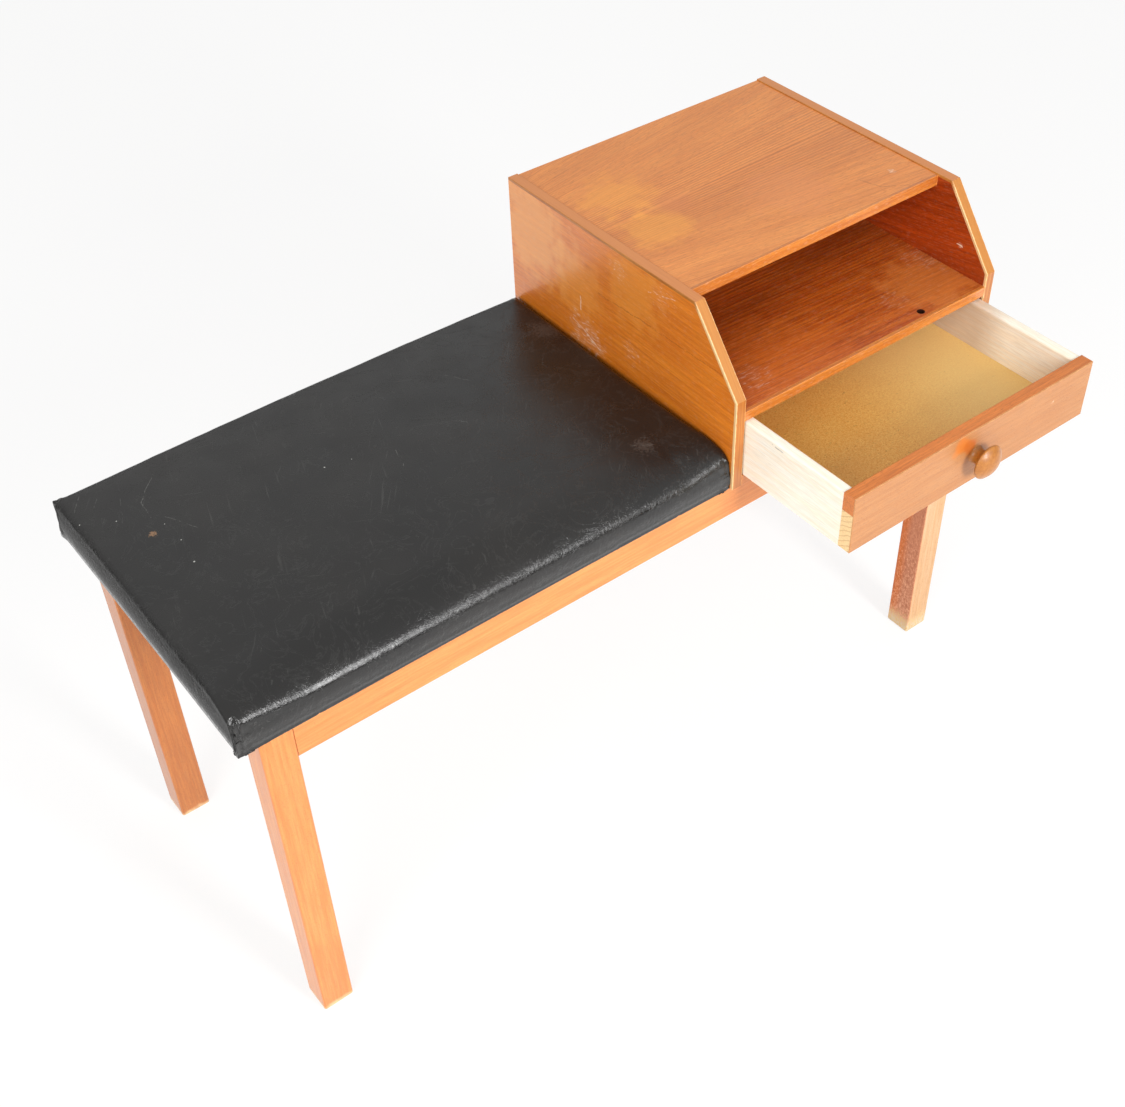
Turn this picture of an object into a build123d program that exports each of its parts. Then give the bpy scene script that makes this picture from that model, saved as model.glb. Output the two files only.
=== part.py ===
from build123d import *
import math
import os

# Telephone bench: a beech leg frame that carries an upholstered seat and a small teak cabinet
# with an open telephone shelf over one drawer.
# Millimetres, +Z up, the drawer faces -Y and the cabinet stands at the +X end.
# The origin is on the floor, below the middle of the bench with its drawer pulled out as drawn.

# ---------------------------------------------------------------- driving dimensions
# Leg frame
FRAME_LENGTH = 874.0
FRAME_DEPTH = 344.0
FRAME_HEIGHT = 417.0
LEG_SECTION = 33.0
LEG_EDGE_RADIUS = 2.0
FOOT_EDGE_RADIUS = 3.5
RAIL_HEIGHT = 41.0
RAIL_THICKNESS = 20.0
RAIL_SETBACK = 0.6
RAIL_EDGE_RADIUS = 1.5
RAIL_DOWEL_DIAMETER = 8.0
RAIL_DOWEL_LENGTH = 34.0
RAIL_DOWEL_SPACING = 20.0
CROSS_DOWEL_IN_RAIL = 14.0
BLOCK_LEG = 46.0
BLOCK_HEIGHT = 28.0
BLOCK_DROP = 2.0
GLUE_GAP = 0.05

# Screws that hold the seat and the cabinet down
SCREW_DIAMETER = 4.0
SCREW_HEAD_DIAMETER = 8.0
SCREW_HEAD_HEIGHT = 2.6
SCREW_BITE = 9.0
SCREW_INSET = 15.0

# Upholstered seat
SEAT_END_OVERHANG = 19.0
SEAT_SIDE_OVERHANG = 4.0
SEAT_CABINET_GAP = 0.6
SEAT_EDGE_HEIGHT = 48.0
SEAT_CROWN = 3.0
SEAT_SHOULDER_RADIUS = 12.0
SEAT_FRONT_ROLL_DEPTH = 70.0
SEAT_FRONT_ROLL_START = 16.0
SEAT_SIDE_BULGE = 1.6
SEAT_BASE_DRAW_IN = 0.3
SEAT_DRAW_IN = 0.8
SEAT_CORNER_RADIUS = 5.0
SEAT_CROWN_FLAT = 48.0
SEAT_CROWN_CORNER_RADIUS = 40.0
# Share of the way from the shoulder to the crown's flat, and share of its rise reached there.
SEAT_CROWN_SHAPE = ((0.08, 0.38), (0.24, 0.66), (0.45, 0.86), (0.72, 0.97), (1.0, 1.0))
SEAT_SIDE_LEVELS = 8
SEAT_LEAST_LEVEL = 2.0
SEAT_SHOULDER_STEPS = 5
SEAT_BOARD_THICKNESS = 12.0
COVER_THICKNESS = 1.1
COVER_HEM_PAST_RAIL = 16.0
COVER_CLEARANCE = 0.2
STAPLE_CROWN = 10.0
STAPLE_LEG = 7.0
STAPLE_WIRE = 0.8
STAPLE_SPACING = 48.0
STAPLE_PAST_RAIL = 8.0

# Cabinet
CABINET_WIDTH = 358.0
CABINET_HEIGHT = 186.0
CABINET_END_OVERHANG = 3.0
CABINET_SIDE_OVERHANG = 7.0
BOARD_THICKNESS = 12.0
SHELF_THICKNESS = 11.0
SLOPE_START_HEIGHT = 105.0
SLOPE_SETBACK = 63.0
TOP_PANEL_RECESS = 1.5
TOP_PANEL_SETBACK = 19.0
SHELF_TOP_HEIGHT = 90.0
PANEL_BAND = 3.0
BOARD_LIPPING = 4.0
ARRIS_RADIUS = 0.8
BACK_PANEL_THICKNESS = 5.0
BACK_REBATE = 6.0
BACK_CLEARANCE = 0.3
CABINET_DOWEL_DIAMETER = 6.0
CABINET_DOWEL_LENGTH = 24.0
CABINET_DOWEL_IN_PANEL = 8.0
CABINET_DOWEL_COUNT = 3
CABINET_DOWEL_END_MARGIN = 48.0
CORD_HOLE_DIAMETER = 8.0
CORD_HOLE_FROM_PANEL = 84.0
CORD_HOLE_FROM_FRONT = 11.5
PIN_DIAMETER = 1.4
PIN_HEAD_DIAMETER = 2.8
PIN_HEAD_HEIGHT = 0.8
PIN_LENGTH = 14.0
PIN_COUNT_PER_SIDE = 3
NAIL_LENGTH = 28.0

# Drawer
DRAWER_OPENING_SHOWN = 145.0
DRAWER_SIDE_GAP = 2.0
DRAWER_RUNNING_GAP = 0.3
DRAWER_BACK_GAP = 0.5
DRAWER_FRONT_HEIGHT = 65.5
DRAWER_FRONT_THICKNESS = 15.0
DRAWER_FACING = 1.2
DRAWER_LIPPING_HEIGHT = 21.0
DRAWER_SIDE_THICKNESS = 12.0
DRAWER_SIDE_DROP = 1.0
DRAWER_SIDE_EDGE_RADIUS = 3.0
DRAWER_BACK_THICKNESS = 10.0
DRAWER_BACK_DROP = 8.0
DRAWER_BOTTOM_THICKNESS = 4.0
DRAWER_BOTTOM_UP = 8.5
DRAWER_GROOVE_DEPTH = 5.0
DRAWER_GROOVE_CLEARANCE = 0.2
DRAWER_DOWEL_DIAMETER = 6.0
DRAWER_DOWEL_LENGTH = 22.0
DRAWER_DOWEL_IN_FRONT = 9.0
DRAWER_JOINT_INSET = 15.0

# Turned knob
KNOB_DIAMETER = 36.5
KNOB_LENGTH = 24.0
KNOB_RIM_HEIGHT = 16.5
KNOB_RIM_THICKNESS = 3.0
KNOB_RIM_SOFTENING = 1.0
KNOB_UNDERCUT = 1.6
KNOB_HOLLOW = 2.4
KNOB_BASE_DIAMETER = 20.0
KNOB_NECK_DIAMETER = 16.0
KNOB_NECK_HEIGHT = 5.0
KNOB_SCREW_BITE = 12.0

# ---------------------------------------------------------------- levels and places
# Worked out about the middle of the leg frame, and moved to the origin on export.
LEFT = -FRAME_LENGTH / 2
RIGHT = FRAME_LENGTH / 2
FRONT = -FRAME_DEPTH / 2
BACK = FRAME_DEPTH / 2
RAIL_BOTTOM = FRAME_HEIGHT - RAIL_HEIGHT
RAIL_OUTER_INSET = RAIL_SETBACK + RAIL_THICKNESS / 2

CABINET_RIGHT = RIGHT + CABINET_END_OVERHANG
CABINET_LEFT = CABINET_RIGHT - CABINET_WIDTH
CABINET_FRONT = FRONT - CABINET_SIDE_OVERHANG
CABINET_BACK = BACK + CABINET_SIDE_OVERHANG
CABINET_TOP = FRAME_HEIGHT + CABINET_HEIGHT
BAY_LEFT = CABINET_LEFT + BOARD_THICKNESS
BAY_RIGHT = CABINET_RIGHT - BOARD_THICKNESS
BOTTOM_BOARD_TOP = FRAME_HEIGHT + BOARD_THICKNESS
SHELF_TOP = FRAME_HEIGHT + SHELF_TOP_HEIGHT
SHELF_UNDERSIDE = SHELF_TOP - SHELF_THICKNESS
TOP_PANEL_TOP = CABINET_TOP - TOP_PANEL_RECESS
TOP_PANEL_UNDERSIDE = TOP_PANEL_TOP - BOARD_THICKNESS
TOP_PANEL_FRONT = CABINET_FRONT + SLOPE_SETBACK + TOP_PANEL_SETBACK
BACK_PANEL_FRONT = CABINET_BACK - BACK_PANEL_THICKNESS

SEAT_LEFT = LEFT - SEAT_END_OVERHANG
SEAT_RIGHT = CABINET_LEFT - SEAT_CABINET_GAP
SEAT_HALF_LENGTH = (SEAT_RIGHT - SEAT_LEFT) / 2
SEAT_HALF_DEPTH = FRAME_DEPTH / 2 + SEAT_SIDE_OVERHANG
SEAT_MIDDLE = (SEAT_LEFT + SEAT_RIGHT) / 2
SEAT_BOARD_BOTTOM = FRAME_HEIGHT + COVER_THICKNESS
SEAT_BOARD_TOP = SEAT_BOARD_BOTTOM + SEAT_BOARD_THICKNESS
SEAT_BOARD_INSET = SEAT_SIDE_BULGE + COVER_THICKNESS + COVER_CLEARANCE
RAIL_INNER_LEFT = LEFT + RAIL_SETBACK + RAIL_THICKNESS
RAIL_INNER_MIDDLE = CABINET_LEFT - RAIL_THICKNESS / 2
RAIL_INNER_DEPTH = FRAME_DEPTH / 2 - RAIL_SETBACK - RAIL_THICKNESS

DRAWER_LEFT = BAY_LEFT + DRAWER_SIDE_GAP
DRAWER_RIGHT = BAY_RIGHT - DRAWER_SIDE_GAP
DRAWER_FRONT = CABINET_FRONT - DRAWER_OPENING_SHOWN
DRAWER_FRONT_BACK = DRAWER_FRONT + DRAWER_FRONT_THICKNESS
DRAWER_BACK = BACK_PANEL_FRONT - DRAWER_BACK_GAP - DRAWER_OPENING_SHOWN
DRAWER_UNDERSIDE = BOTTOM_BOARD_TOP + DRAWER_RUNNING_GAP
DRAWER_TOP = DRAWER_UNDERSIDE + DRAWER_FRONT_HEIGHT
DRAWER_SIDE_TOP = DRAWER_TOP - DRAWER_SIDE_DROP
DRAWER_BOTTOM_LOW = DRAWER_UNDERSIDE + DRAWER_BOTTOM_UP
DRAWER_BOTTOM_TOP = DRAWER_BOTTOM_LOW + DRAWER_BOTTOM_THICKNESS
KNOB_X = (DRAWER_LEFT + DRAWER_RIGHT) / 2
KNOB_Z = DRAWER_UNDERSIDE + DRAWER_FRONT_HEIGHT / 2

# The whole bench, knob included, is centred over the origin.
ORIGIN_X = (SEAT_LEFT + CABINET_RIGHT) / 2
ORIGIN_Y = (DRAWER_FRONT - KNOB_LENGTH + CABINET_BACK) / 2


# ---------------------------------------------------------------- small helpers
def span(x0, x1, y0, y1, z0, z1):
    """A block between two corners."""
    centre = ((x0 + x1) / 2, (y0 + y1) / 2, (z0 + z1) / 2)
    return Pos(*centre) * Box(x1 - x0, y1 - y0, z1 - z0)


def rod(start, direction, diameter, length):
    """A round bar from a start point along a direction."""
    bar = Cylinder(diameter / 2, length, align=(Align.CENTER, Align.CENTER, Align.MIN))
    return Plane(origin=start, z_dir=direction) * bar


def group(solids):
    """Separate solids kept together as one piece of the parts list."""
    return Compound([solid.solid() for solid in solids])


def drilled(piece, cutters):
    """A piece with every cutter taken out of it."""
    for cutter in cutters:
        piece = piece - cutter
    return piece


def screw(tip, direction, length):
    """A countersunk wood screw: its head lies at the far end from its tip."""
    shank = rod(tip, direction, SCREW_DIAMETER, length)
    seat = Vector(tip) + Vector(direction) * (length - SCREW_HEAD_HEIGHT)
    cone = Cone(
        SCREW_DIAMETER / 2, SCREW_HEAD_DIAMETER / 2, SCREW_HEAD_HEIGHT,
        align=(Align.CENTER, Align.CENTER, Align.MIN),
    )
    return shank + Plane(origin=seat, z_dir=direction) * cone


def screw_hole(tip, direction, length):
    """The hole that a screw of this place and length fills."""
    grown = rod(tip, direction, SCREW_DIAMETER + 2 * GLUE_GAP, length)
    seat = Vector(tip) + Vector(direction) * (length - SCREW_HEAD_HEIGHT - GLUE_GAP)
    cone = Cone(
        SCREW_DIAMETER / 2 + GLUE_GAP, SCREW_HEAD_DIAMETER / 2 + 2 * GLUE_GAP,
        SCREW_HEAD_HEIGHT + GLUE_GAP, align=(Align.CENTER, Align.CENTER, Align.MIN),
    )
    return grown + Plane(origin=seat, z_dir=direction) * cone


def pin(tip, direction, length, gap):
    """A flat-headed pin from its tip to its head. gap widens it for the hole that it fills."""
    shank = rod(tip, direction, PIN_DIAMETER + 2 * gap, length)
    under_head = Vector(tip) + Vector(direction) * length
    return shank + rod(under_head, direction, PIN_HEAD_DIAMETER + 2 * gap, PIN_HEAD_HEIGHT)


def pins(spots):
    """The pins or nails at these places."""
    return group([pin(*spot, 0) for spot in spots])


def pin_holes(spots):
    """The holes of the pins or nails at these places."""
    return [pin(*spot, GLUE_GAP) for spot in spots]


# ---------------------------------------------------------------- leg frame
def rail_dowel_spots():
    """Start point and direction of each dowel between a leg or long rail and a rail end."""
    spots = []
    middle = FRAME_HEIGHT - RAIL_HEIGHT / 2
    levels = (middle - RAIL_DOWEL_SPACING / 2, middle + RAIL_DOWEL_SPACING / 2)
    half = RAIL_DOWEL_LENGTH / 2
    for z in levels:
        for y in (FRONT + RAIL_OUTER_INSET, BACK - RAIL_OUTER_INSET):
            spots.append(((LEFT + LEG_SECTION - half, y, z), (1, 0, 0)))
            spots.append(((RIGHT - LEG_SECTION - half, y, z), (1, 0, 0)))
        for x in (LEFT + RAIL_OUTER_INSET, RIGHT - RAIL_OUTER_INSET):
            spots.append(((x, FRONT + LEG_SECTION - half, z), (0, 1, 0)))
            spots.append(((x, BACK - LEG_SECTION - half, z), (0, 1, 0)))
    return spots


def cross_dowel_spots():
    """Dowels between the long rails and the cross rail, stopped inside the long rails."""
    spots = []
    middle = FRAME_HEIGHT - RAIL_HEIGHT / 2
    inside_rail = RAIL_SETBACK + RAIL_THICKNESS
    for z in (middle - RAIL_DOWEL_SPACING / 2, middle + RAIL_DOWEL_SPACING / 2):
        spots.append(((CABINET_LEFT, FRONT + inside_rail - CROSS_DOWEL_IN_RAIL, z), (0, 1, 0)))
        spots.append(((CABINET_LEFT, BACK - inside_rail + CROSS_DOWEL_IN_RAIL, z), (0, -1, 0)))
    return spots


def rail_dowel_holes():
    """Every dowel hole of the leg frame."""
    diameter = RAIL_DOWEL_DIAMETER + 2 * GLUE_GAP
    return [rod(at, way, diameter, RAIL_DOWEL_LENGTH) for at, way in rail_dowel_spots() + cross_dowel_spots()]


def rail_dowels():
    """Beech dowels of the leg frame."""
    spots = rail_dowel_spots() + cross_dowel_spots()
    return group([rod(at, way, RAIL_DOWEL_DIAMETER, RAIL_DOWEL_LENGTH) for at, way in spots])


def leg(x_side, y_side):
    """A square leg with eased edges and a worn, rounded foot."""
    x0 = LEFT if x_side < 0 else RIGHT - LEG_SECTION
    y0 = FRONT if y_side < 0 else BACK - LEG_SECTION
    post = span(x0, x0 + LEG_SECTION, y0, y0 + LEG_SECTION, 0, FRAME_HEIGHT)
    post = fillet(post.edges().filter_by(Axis.Z), LEG_EDGE_RADIUS)
    post = fillet(post.edges().group_by(Axis.Z)[0], min(FOOT_EDGE_RADIUS, LEG_SECTION / 3))
    return drilled(post, rail_dowel_holes())


def long_rail(y_side):
    """The front or back rail, between the legs."""
    y0 = FRONT + RAIL_SETBACK if y_side < 0 else BACK - RAIL_SETBACK - RAIL_THICKNESS
    rail = span(LEFT + LEG_SECTION, RIGHT - LEG_SECTION, y0, y0 + RAIL_THICKNESS, RAIL_BOTTOM, FRAME_HEIGHT)
    rail = fillet(rail.edges().filter_by(Axis.X).group_by(Axis.Z)[0], RAIL_EDGE_RADIUS)
    return drilled(rail, rail_dowel_holes())


def end_rail(x_side):
    """The left or right rail, between the legs."""
    x0 = LEFT + RAIL_SETBACK if x_side < 0 else RIGHT - RAIL_SETBACK - RAIL_THICKNESS
    rail = span(x0, x0 + RAIL_THICKNESS, FRONT + LEG_SECTION, BACK - LEG_SECTION, RAIL_BOTTOM, FRAME_HEIGHT)
    rail = fillet(rail.edges().filter_by(Axis.Y).group_by(Axis.Z)[0], RAIL_EDGE_RADIUS)
    return drilled(rail, rail_dowel_holes())


def cross_rail():
    """The rail under the line where the seat meets the cabinet, which carries both."""
    half = RAIL_THICKNESS / 2
    rail = span(
        CABINET_LEFT - half, CABINET_LEFT + half, -RAIL_INNER_DEPTH, RAIL_INNER_DEPTH,
        RAIL_BOTTOM, FRAME_HEIGHT,
    )
    rail = fillet(rail.edges().filter_by(Axis.Y).group_by(Axis.Z)[0], RAIL_EDGE_RADIUS)
    return drilled(rail, rail_dowel_holes())


def block_corners():
    """Inner corners of the frame that hold a glue block: point, x way, y way, what it holds."""
    corners = []
    for y_side in (-1, 1):
        y = y_side * RAIL_INNER_DEPTH
        corners.append(((RAIL_INNER_LEFT, y), 1, -y_side, "seat", "leg"))
        corners.append(((RAIL_INNER_MIDDLE, y), -1, -y_side, "seat", "middle"))
        corners.append(((RAIL_INNER_MIDDLE + RAIL_THICKNESS, y), 1, -y_side, "cabinet", "middle"))
        corners.append(((-RAIL_INNER_LEFT, y), -1, -y_side, "cabinet", "leg"))
    return corners


def block_screw(corner):
    """Tip, direction and length of the screw that goes up through one glue block."""
    (x, y), x_way, y_way, holds, _ = corner
    reach = SCREW_INSET
    if corner[4] == "leg":
        reach = SCREW_INSET + (LEG_SECTION - RAIL_THICKNESS) / 2
    place = (x + x_way * reach, y + y_way * reach)
    bottom = FRAME_HEIGHT - BLOCK_DROP - BLOCK_HEIGHT
    face = SEAT_BOARD_BOTTOM if holds == "seat" else FRAME_HEIGHT
    tip = (place[0], place[1], face + SCREW_BITE)
    return tip, (0, 0, -1), tip[2] - bottom


def block_screws(holds):
    """The screws up into the seat board, or up into the cabinet's bottom board."""
    return group([screw(*block_screw(corner)) for corner in block_corners() if corner[3] == holds])


def block_screw_holes():
    """The holes of all block screws."""
    return [screw_hole(*block_screw(corner)) for corner in block_corners()]


def glue_blocks(kind):
    """Three-cornered blocks glued into the frame's inner corners, notched round the legs."""
    blocks = []
    top = FRAME_HEIGHT - BLOCK_DROP
    notch = LEG_SECTION - RAIL_SETBACK - RAIL_THICKNESS
    for corner in block_corners():
        (x, y), x_way, y_way, _, place = corner
        if place != kind:
            continue
        points = [(x, y), (x + x_way * BLOCK_LEG, y), (x, y + y_way * BLOCK_LEG)]
        outline = make_face(Polyline(*points, close=True))
        block = Pos(0, 0, top - BLOCK_HEIGHT) * extrude(outline, BLOCK_HEIGHT, dir=(0, 0, 1))
        if kind == "leg":
            x1 = x + x_way * notch
            y1 = y + y_way * notch
            block -= span(min(x, x1), max(x, x1), min(y, y1), max(y, y1), 0, FRAME_HEIGHT)
        blocks.append(drilled(block, [screw_hole(*block_screw(corner))]))
    return group(blocks)


# ---------------------------------------------------------------- upholstered seat
def pad_outline(inset, front_inset, draw_in, z):
    """A flat level of the pad: four sides that pull in between four rounded corners."""
    a = SEAT_HALF_LENGTH - inset
    b = SEAT_HALF_DEPTH - inset
    f = SEAT_HALF_DEPTH - front_inset
    middle = (b - f) / 2
    reach = inset / (SEAT_HALF_DEPTH - SEAT_CROWN_FLAT)
    r = SEAT_CORNER_RADIUS + (SEAT_CROWN_CORNER_RADIUS - SEAT_CORNER_RADIUS) * reach
    k = r * (1 - math.sqrt(0.5))
    d = draw_in
    edges = [
        ThreePointArc((-a + r, -f), (0, -f + d), (a - r, -f)),
        ThreePointArc((a - r, -f), (a - k, -f + k), (a, -f + r)),
        ThreePointArc((a, -f + r), (a - d, middle), (a, b - r)),
        ThreePointArc((a, b - r), (a - k, b - k), (a - r, b)),
        ThreePointArc((a - r, b), (0, b - d), (-a + r, b)),
        ThreePointArc((-a + r, b), (-a + k, b - k), (-a, b - r)),
        ThreePointArc((-a, b - r), (-a + d, middle), (-a, -f + r)),
        ThreePointArc((-a, -f + r), (-a + k, -f + k), (-a + r, -f)),
    ]
    return Pos(SEAT_MIDDLE, 0, z) * make_face(Wire(edges))


def pad_levels(skin, base):
    """Inset, front side's inset, draw-in and height of each level, from the base to the crown.

    skin is how far the form lies inside the seat's outer surface, and base is the height at
    which it starts. The sides swell a little, turn over a round shoulder and rise to the crown.
    The front side rolls over in a longer curve of its own.
    """
    r = SEAT_SHOULDER_RADIUS
    shoulder = SEAT_EDGE_HEIGHT - r
    step = shoulder / SEAT_SIDE_LEVELS
    side = [step * i for i in range(1, SEAT_SIDE_LEVELS) if step * i > base + SEAT_LEAST_LEVEL]
    levels = []
    for height in [base] + side:
        inset = skin + SEAT_SIDE_BULGE * (1 - math.sin(math.pi * height / shoulder))
        levels.append((inset, inset + front_roll(height, skin), side_draw_in(height), height))
    for i in range(SEAT_SHOULDER_STEPS + 1):
        turn = math.pi / 2 * i / SEAT_SHOULDER_STEPS
        inset = skin + SEAT_SIDE_BULGE + (r - skin) * (1 - math.cos(turn))
        height = shoulder + (r - skin) * math.sin(turn)
        front = skin + SEAT_SIDE_BULGE + front_roll(height, skin)
        levels.append((inset, front, side_draw_in(height), height))
    edge = SEAT_SIDE_BULGE + r
    front_edge = SEAT_SIDE_BULGE + SEAT_FRONT_ROLL_DEPTH
    flat = SEAT_HALF_DEPTH - SEAT_CROWN_FLAT
    for share, rise in SEAT_CROWN_SHAPE:
        inset = edge + (flat - edge) * share
        front = front_edge + (flat - front_edge) * share
        draw = SEAT_DRAW_IN + (SEAT_BASE_DRAW_IN - SEAT_DRAW_IN) * rise
        levels.append((inset, front, draw, SEAT_EDGE_HEIGHT - skin + SEAT_CROWN * rise))
    return levels


def front_roll(height, skin):
    """How much further in the front side lies at a height than the other three sides' walls."""
    rise = max(0.0, height - SEAT_FRONT_ROLL_START) / (SEAT_EDGE_HEIGHT - SEAT_FRONT_ROLL_START - skin)
    return (SEAT_FRONT_ROLL_DEPTH - skin) * (1 - math.sqrt(max(0.0, 1 - rise ** 2)))


def side_draw_in(height):
    """How far a side pulls in at its middle, which grows from the base to the edge."""
    return SEAT_BASE_DRAW_IN + (SEAT_DRAW_IN - SEAT_BASE_DRAW_IN) * height / SEAT_EDGE_HEIGHT


def pad_form(skin, base):
    """The crowned form of the seat at a depth of skin below its surface."""
    levels = pad_levels(skin, base)
    outlines = [
        pad_outline(inset, front, draw, FRAME_HEIGHT + z) for inset, front, draw, z in levels
    ]
    return loft(outlines, ruled=True)


def spaced(start, end, spacing):
    """Places from start to end, evenly spaced and about a spacing apart."""
    count = max(2, int((end - start) // spacing))
    return [start + (end - start) * i / count for i in range(count + 1)]


def staple_places():
    """Centre and run direction of every staple along the hem, just inside the rails."""
    past = STAPLE_PAST_RAIL
    clear = BLOCK_LEG + STAPLE_CROWN
    y_row = RAIL_INNER_DEPTH - past
    places = []
    for x in spaced(RAIL_INNER_LEFT + clear, RAIL_INNER_MIDDLE - clear, STAPLE_SPACING):
        places += [(x, -y_row, True), (x, y_row, True)]
    for y in spaced(clear - RAIL_INNER_DEPTH, RAIL_INNER_DEPTH - clear, STAPLE_SPACING):
        places += [(RAIL_INNER_LEFT + past, y, False), (RAIL_INNER_MIDDLE - past, y, False)]
    return places


def staple(place, gap):
    """A wire staple driven up through the hem into the board. gap widens it for its holes."""
    x, y, along_x = place
    half = STAPLE_CROWN / 2
    wire = STAPLE_WIRE / 2 + gap
    top = FRAME_HEIGHT + COVER_THICKNESS + STAPLE_LEG
    under = FRAME_HEIGHT - STAPLE_WIRE
    bars = [((-half, half), (under, FRAME_HEIGHT))]
    bars += [((end - STAPLE_WIRE / 2, end + STAPLE_WIRE / 2), (under, top)) for end in (-half, half)]
    solid = None
    for (t0, t1), (z0, z1) in bars:
        t0, t1 = t0 - gap, t1 + gap
        bar = span(x + t0, x + t1, y - wire, y + wire, z0, z1 + gap)
        if not along_x:
            bar = span(x - wire, x + wire, y + t0, y + t1, z0, z1 + gap)
        solid = bar if solid is None else solid + bar
    return solid


def staple_holes():
    """What the staples' legs take out of the hem and the board."""
    return [staple(place, GLUE_GAP) for place in staple_places()]


def cover_staples():
    """The staples that hold the cover's hem under the seat board."""
    return group([staple(place, 0) for place in staple_places()])


def seat_board():
    """The flat board under the padding."""
    half_depth = SEAT_HALF_DEPTH - SEAT_BOARD_INSET
    board = span(
        SEAT_LEFT + SEAT_BOARD_INSET, SEAT_RIGHT - SEAT_BOARD_INSET, -half_depth, half_depth,
        SEAT_BOARD_BOTTOM, SEAT_BOARD_TOP,
    )
    board = fillet(board.edges().filter_by(Axis.Z), SEAT_CORNER_RADIUS)
    return drilled(board, staple_holes() + block_screw_holes())


def seat_foam():
    """The foam slab, crowned by the cover that holds it down."""
    base = SEAT_BOARD_TOP - FRAME_HEIGHT + COVER_CLEARANCE
    return pad_form(COVER_THICKNESS + COVER_CLEARANCE, base)


def seat_cover():
    """The leathercloth cover, folded under the board as a hem."""
    shell = pad_form(0, 0) - pad_form(COVER_THICKNESS, COVER_THICKNESS)
    hem = COVER_HEM_PAST_RAIL
    half_window = RAIL_INNER_DEPTH - hem
    window = span(
        RAIL_INNER_LEFT + hem, RAIL_INNER_MIDDLE - hem, -half_window, half_window,
        FRAME_HEIGHT - COVER_THICKNESS, SEAT_BOARD_TOP,
    )
    return drilled(shell - window, staple_holes() + block_screw_holes())


# ---------------------------------------------------------------- cabinet
def panel_corners(inset):
    """Side panel profile in Y and Z, front bottom to back top, set in from its shown edges."""
    y0 = CABINET_FRONT
    z1 = FRAME_HEIGHT + SLOPE_START_HEIGHT
    y2 = CABINET_FRONT + SLOPE_SETBACK
    slope = math.atan2(CABINET_TOP - z1, y2 - y0)
    along_front = inset * math.tan((math.pi / 2 - slope) / 2)
    along_top = inset * math.tan(slope / 2)
    return [
        (y0 + inset, FRAME_HEIGHT),
        (y0 + inset, z1 - along_front),
        (y2 + along_top, CABINET_TOP - inset),
        (CABINET_BACK, CABINET_TOP - inset),
    ]


def panel_prism(points, x0):
    """A profile in Y and Z made as thick as the cabinet's boards."""
    face = make_face(Polyline(*[(x0, y, z) for y, z in points], close=True))
    return extrude(face, BOARD_THICKNESS, dir=(1, 0, 0))


def side_panel(x0, rebate_x):
    """A veneered side panel behind its solid edge band, rebated for the back panel."""
    points = panel_corners(PANEL_BAND) + [(CABINET_BACK, FRAME_HEIGHT)]
    panel = panel_prism(points, x0)
    panel -= span(
        rebate_x, rebate_x + BACK_REBATE, BACK_PANEL_FRONT, CABINET_BACK,
        FRAME_HEIGHT + BACK_REBATE, TOP_PANEL_TOP - BACK_REBATE,
    )
    return drilled(panel, cabinet_dowel_holes() + pin_holes(back_pin_spots()))


def side_band(x0):
    """The three solid strips, mitred together, along a side panel's front, slope and top."""
    outer = panel_corners(0)
    inner = panel_corners(PANEL_BAND)
    strips = []
    for i in range(3):
        strip = panel_prism([outer[i], outer[i + 1], inner[i + 1], inner[i]], x0)
        middle_y = (outer[i][0] + outer[i + 1][0]) / 2
        middle_z = (outer[i][1] + outer[i + 1][1]) / 2
        arrises = strip.edges().sort_by_distance((x0 + BOARD_THICKNESS / 2, middle_y, middle_z))[:2]
        strips.append(fillet(arrises, ARRIS_RADIUS))
    return group(strips)


def cabinet_dowel_spots():
    """Dowels from each side panel into the top panel, the shelf and the bottom board."""
    levels = (
        (TOP_PANEL_UNDERSIDE + BOARD_THICKNESS / 2, TOP_PANEL_FRONT),
        (SHELF_TOP - SHELF_THICKNESS / 2, CABINET_FRONT),
        (FRAME_HEIGHT + BOARD_THICKNESS / 2, CABINET_FRONT),
    )
    spots = []
    for z, front in levels:
        first = front + CABINET_DOWEL_END_MARGIN
        last = CABINET_BACK - CABINET_DOWEL_END_MARGIN
        for i in range(CABINET_DOWEL_COUNT):
            y = first + (last - first) * i / (CABINET_DOWEL_COUNT - 1)
            spots.append(((BAY_LEFT - CABINET_DOWEL_IN_PANEL, y, z), (1, 0, 0)))
            spots.append(((BAY_RIGHT + CABINET_DOWEL_IN_PANEL, y, z), (-1, 0, 0)))
    return spots


def cabinet_dowels():
    """The dowels that join the cabinet's boards."""
    spots = cabinet_dowel_spots()
    return group([rod(at, way, CABINET_DOWEL_DIAMETER, CABINET_DOWEL_LENGTH) for at, way in spots])


def cabinet_dowel_holes():
    """The holes of the cabinet's dowels."""
    diameter = CABINET_DOWEL_DIAMETER + 2 * GLUE_GAP
    return [rod(at, way, diameter, CABINET_DOWEL_LENGTH) for at, way in cabinet_dowel_spots()]


def lipping(front, thickness_bottom, thickness_top):
    """A solid strip along the front of a board between the side panels."""
    strip = span(BAY_LEFT, BAY_RIGHT, front, front + BOARD_LIPPING, thickness_bottom, thickness_top)
    front_edges = strip.edges().filter_by(Axis.X).group_by(Axis.Y)[0]
    return fillet(front_edges, ARRIS_RADIUS)


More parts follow.
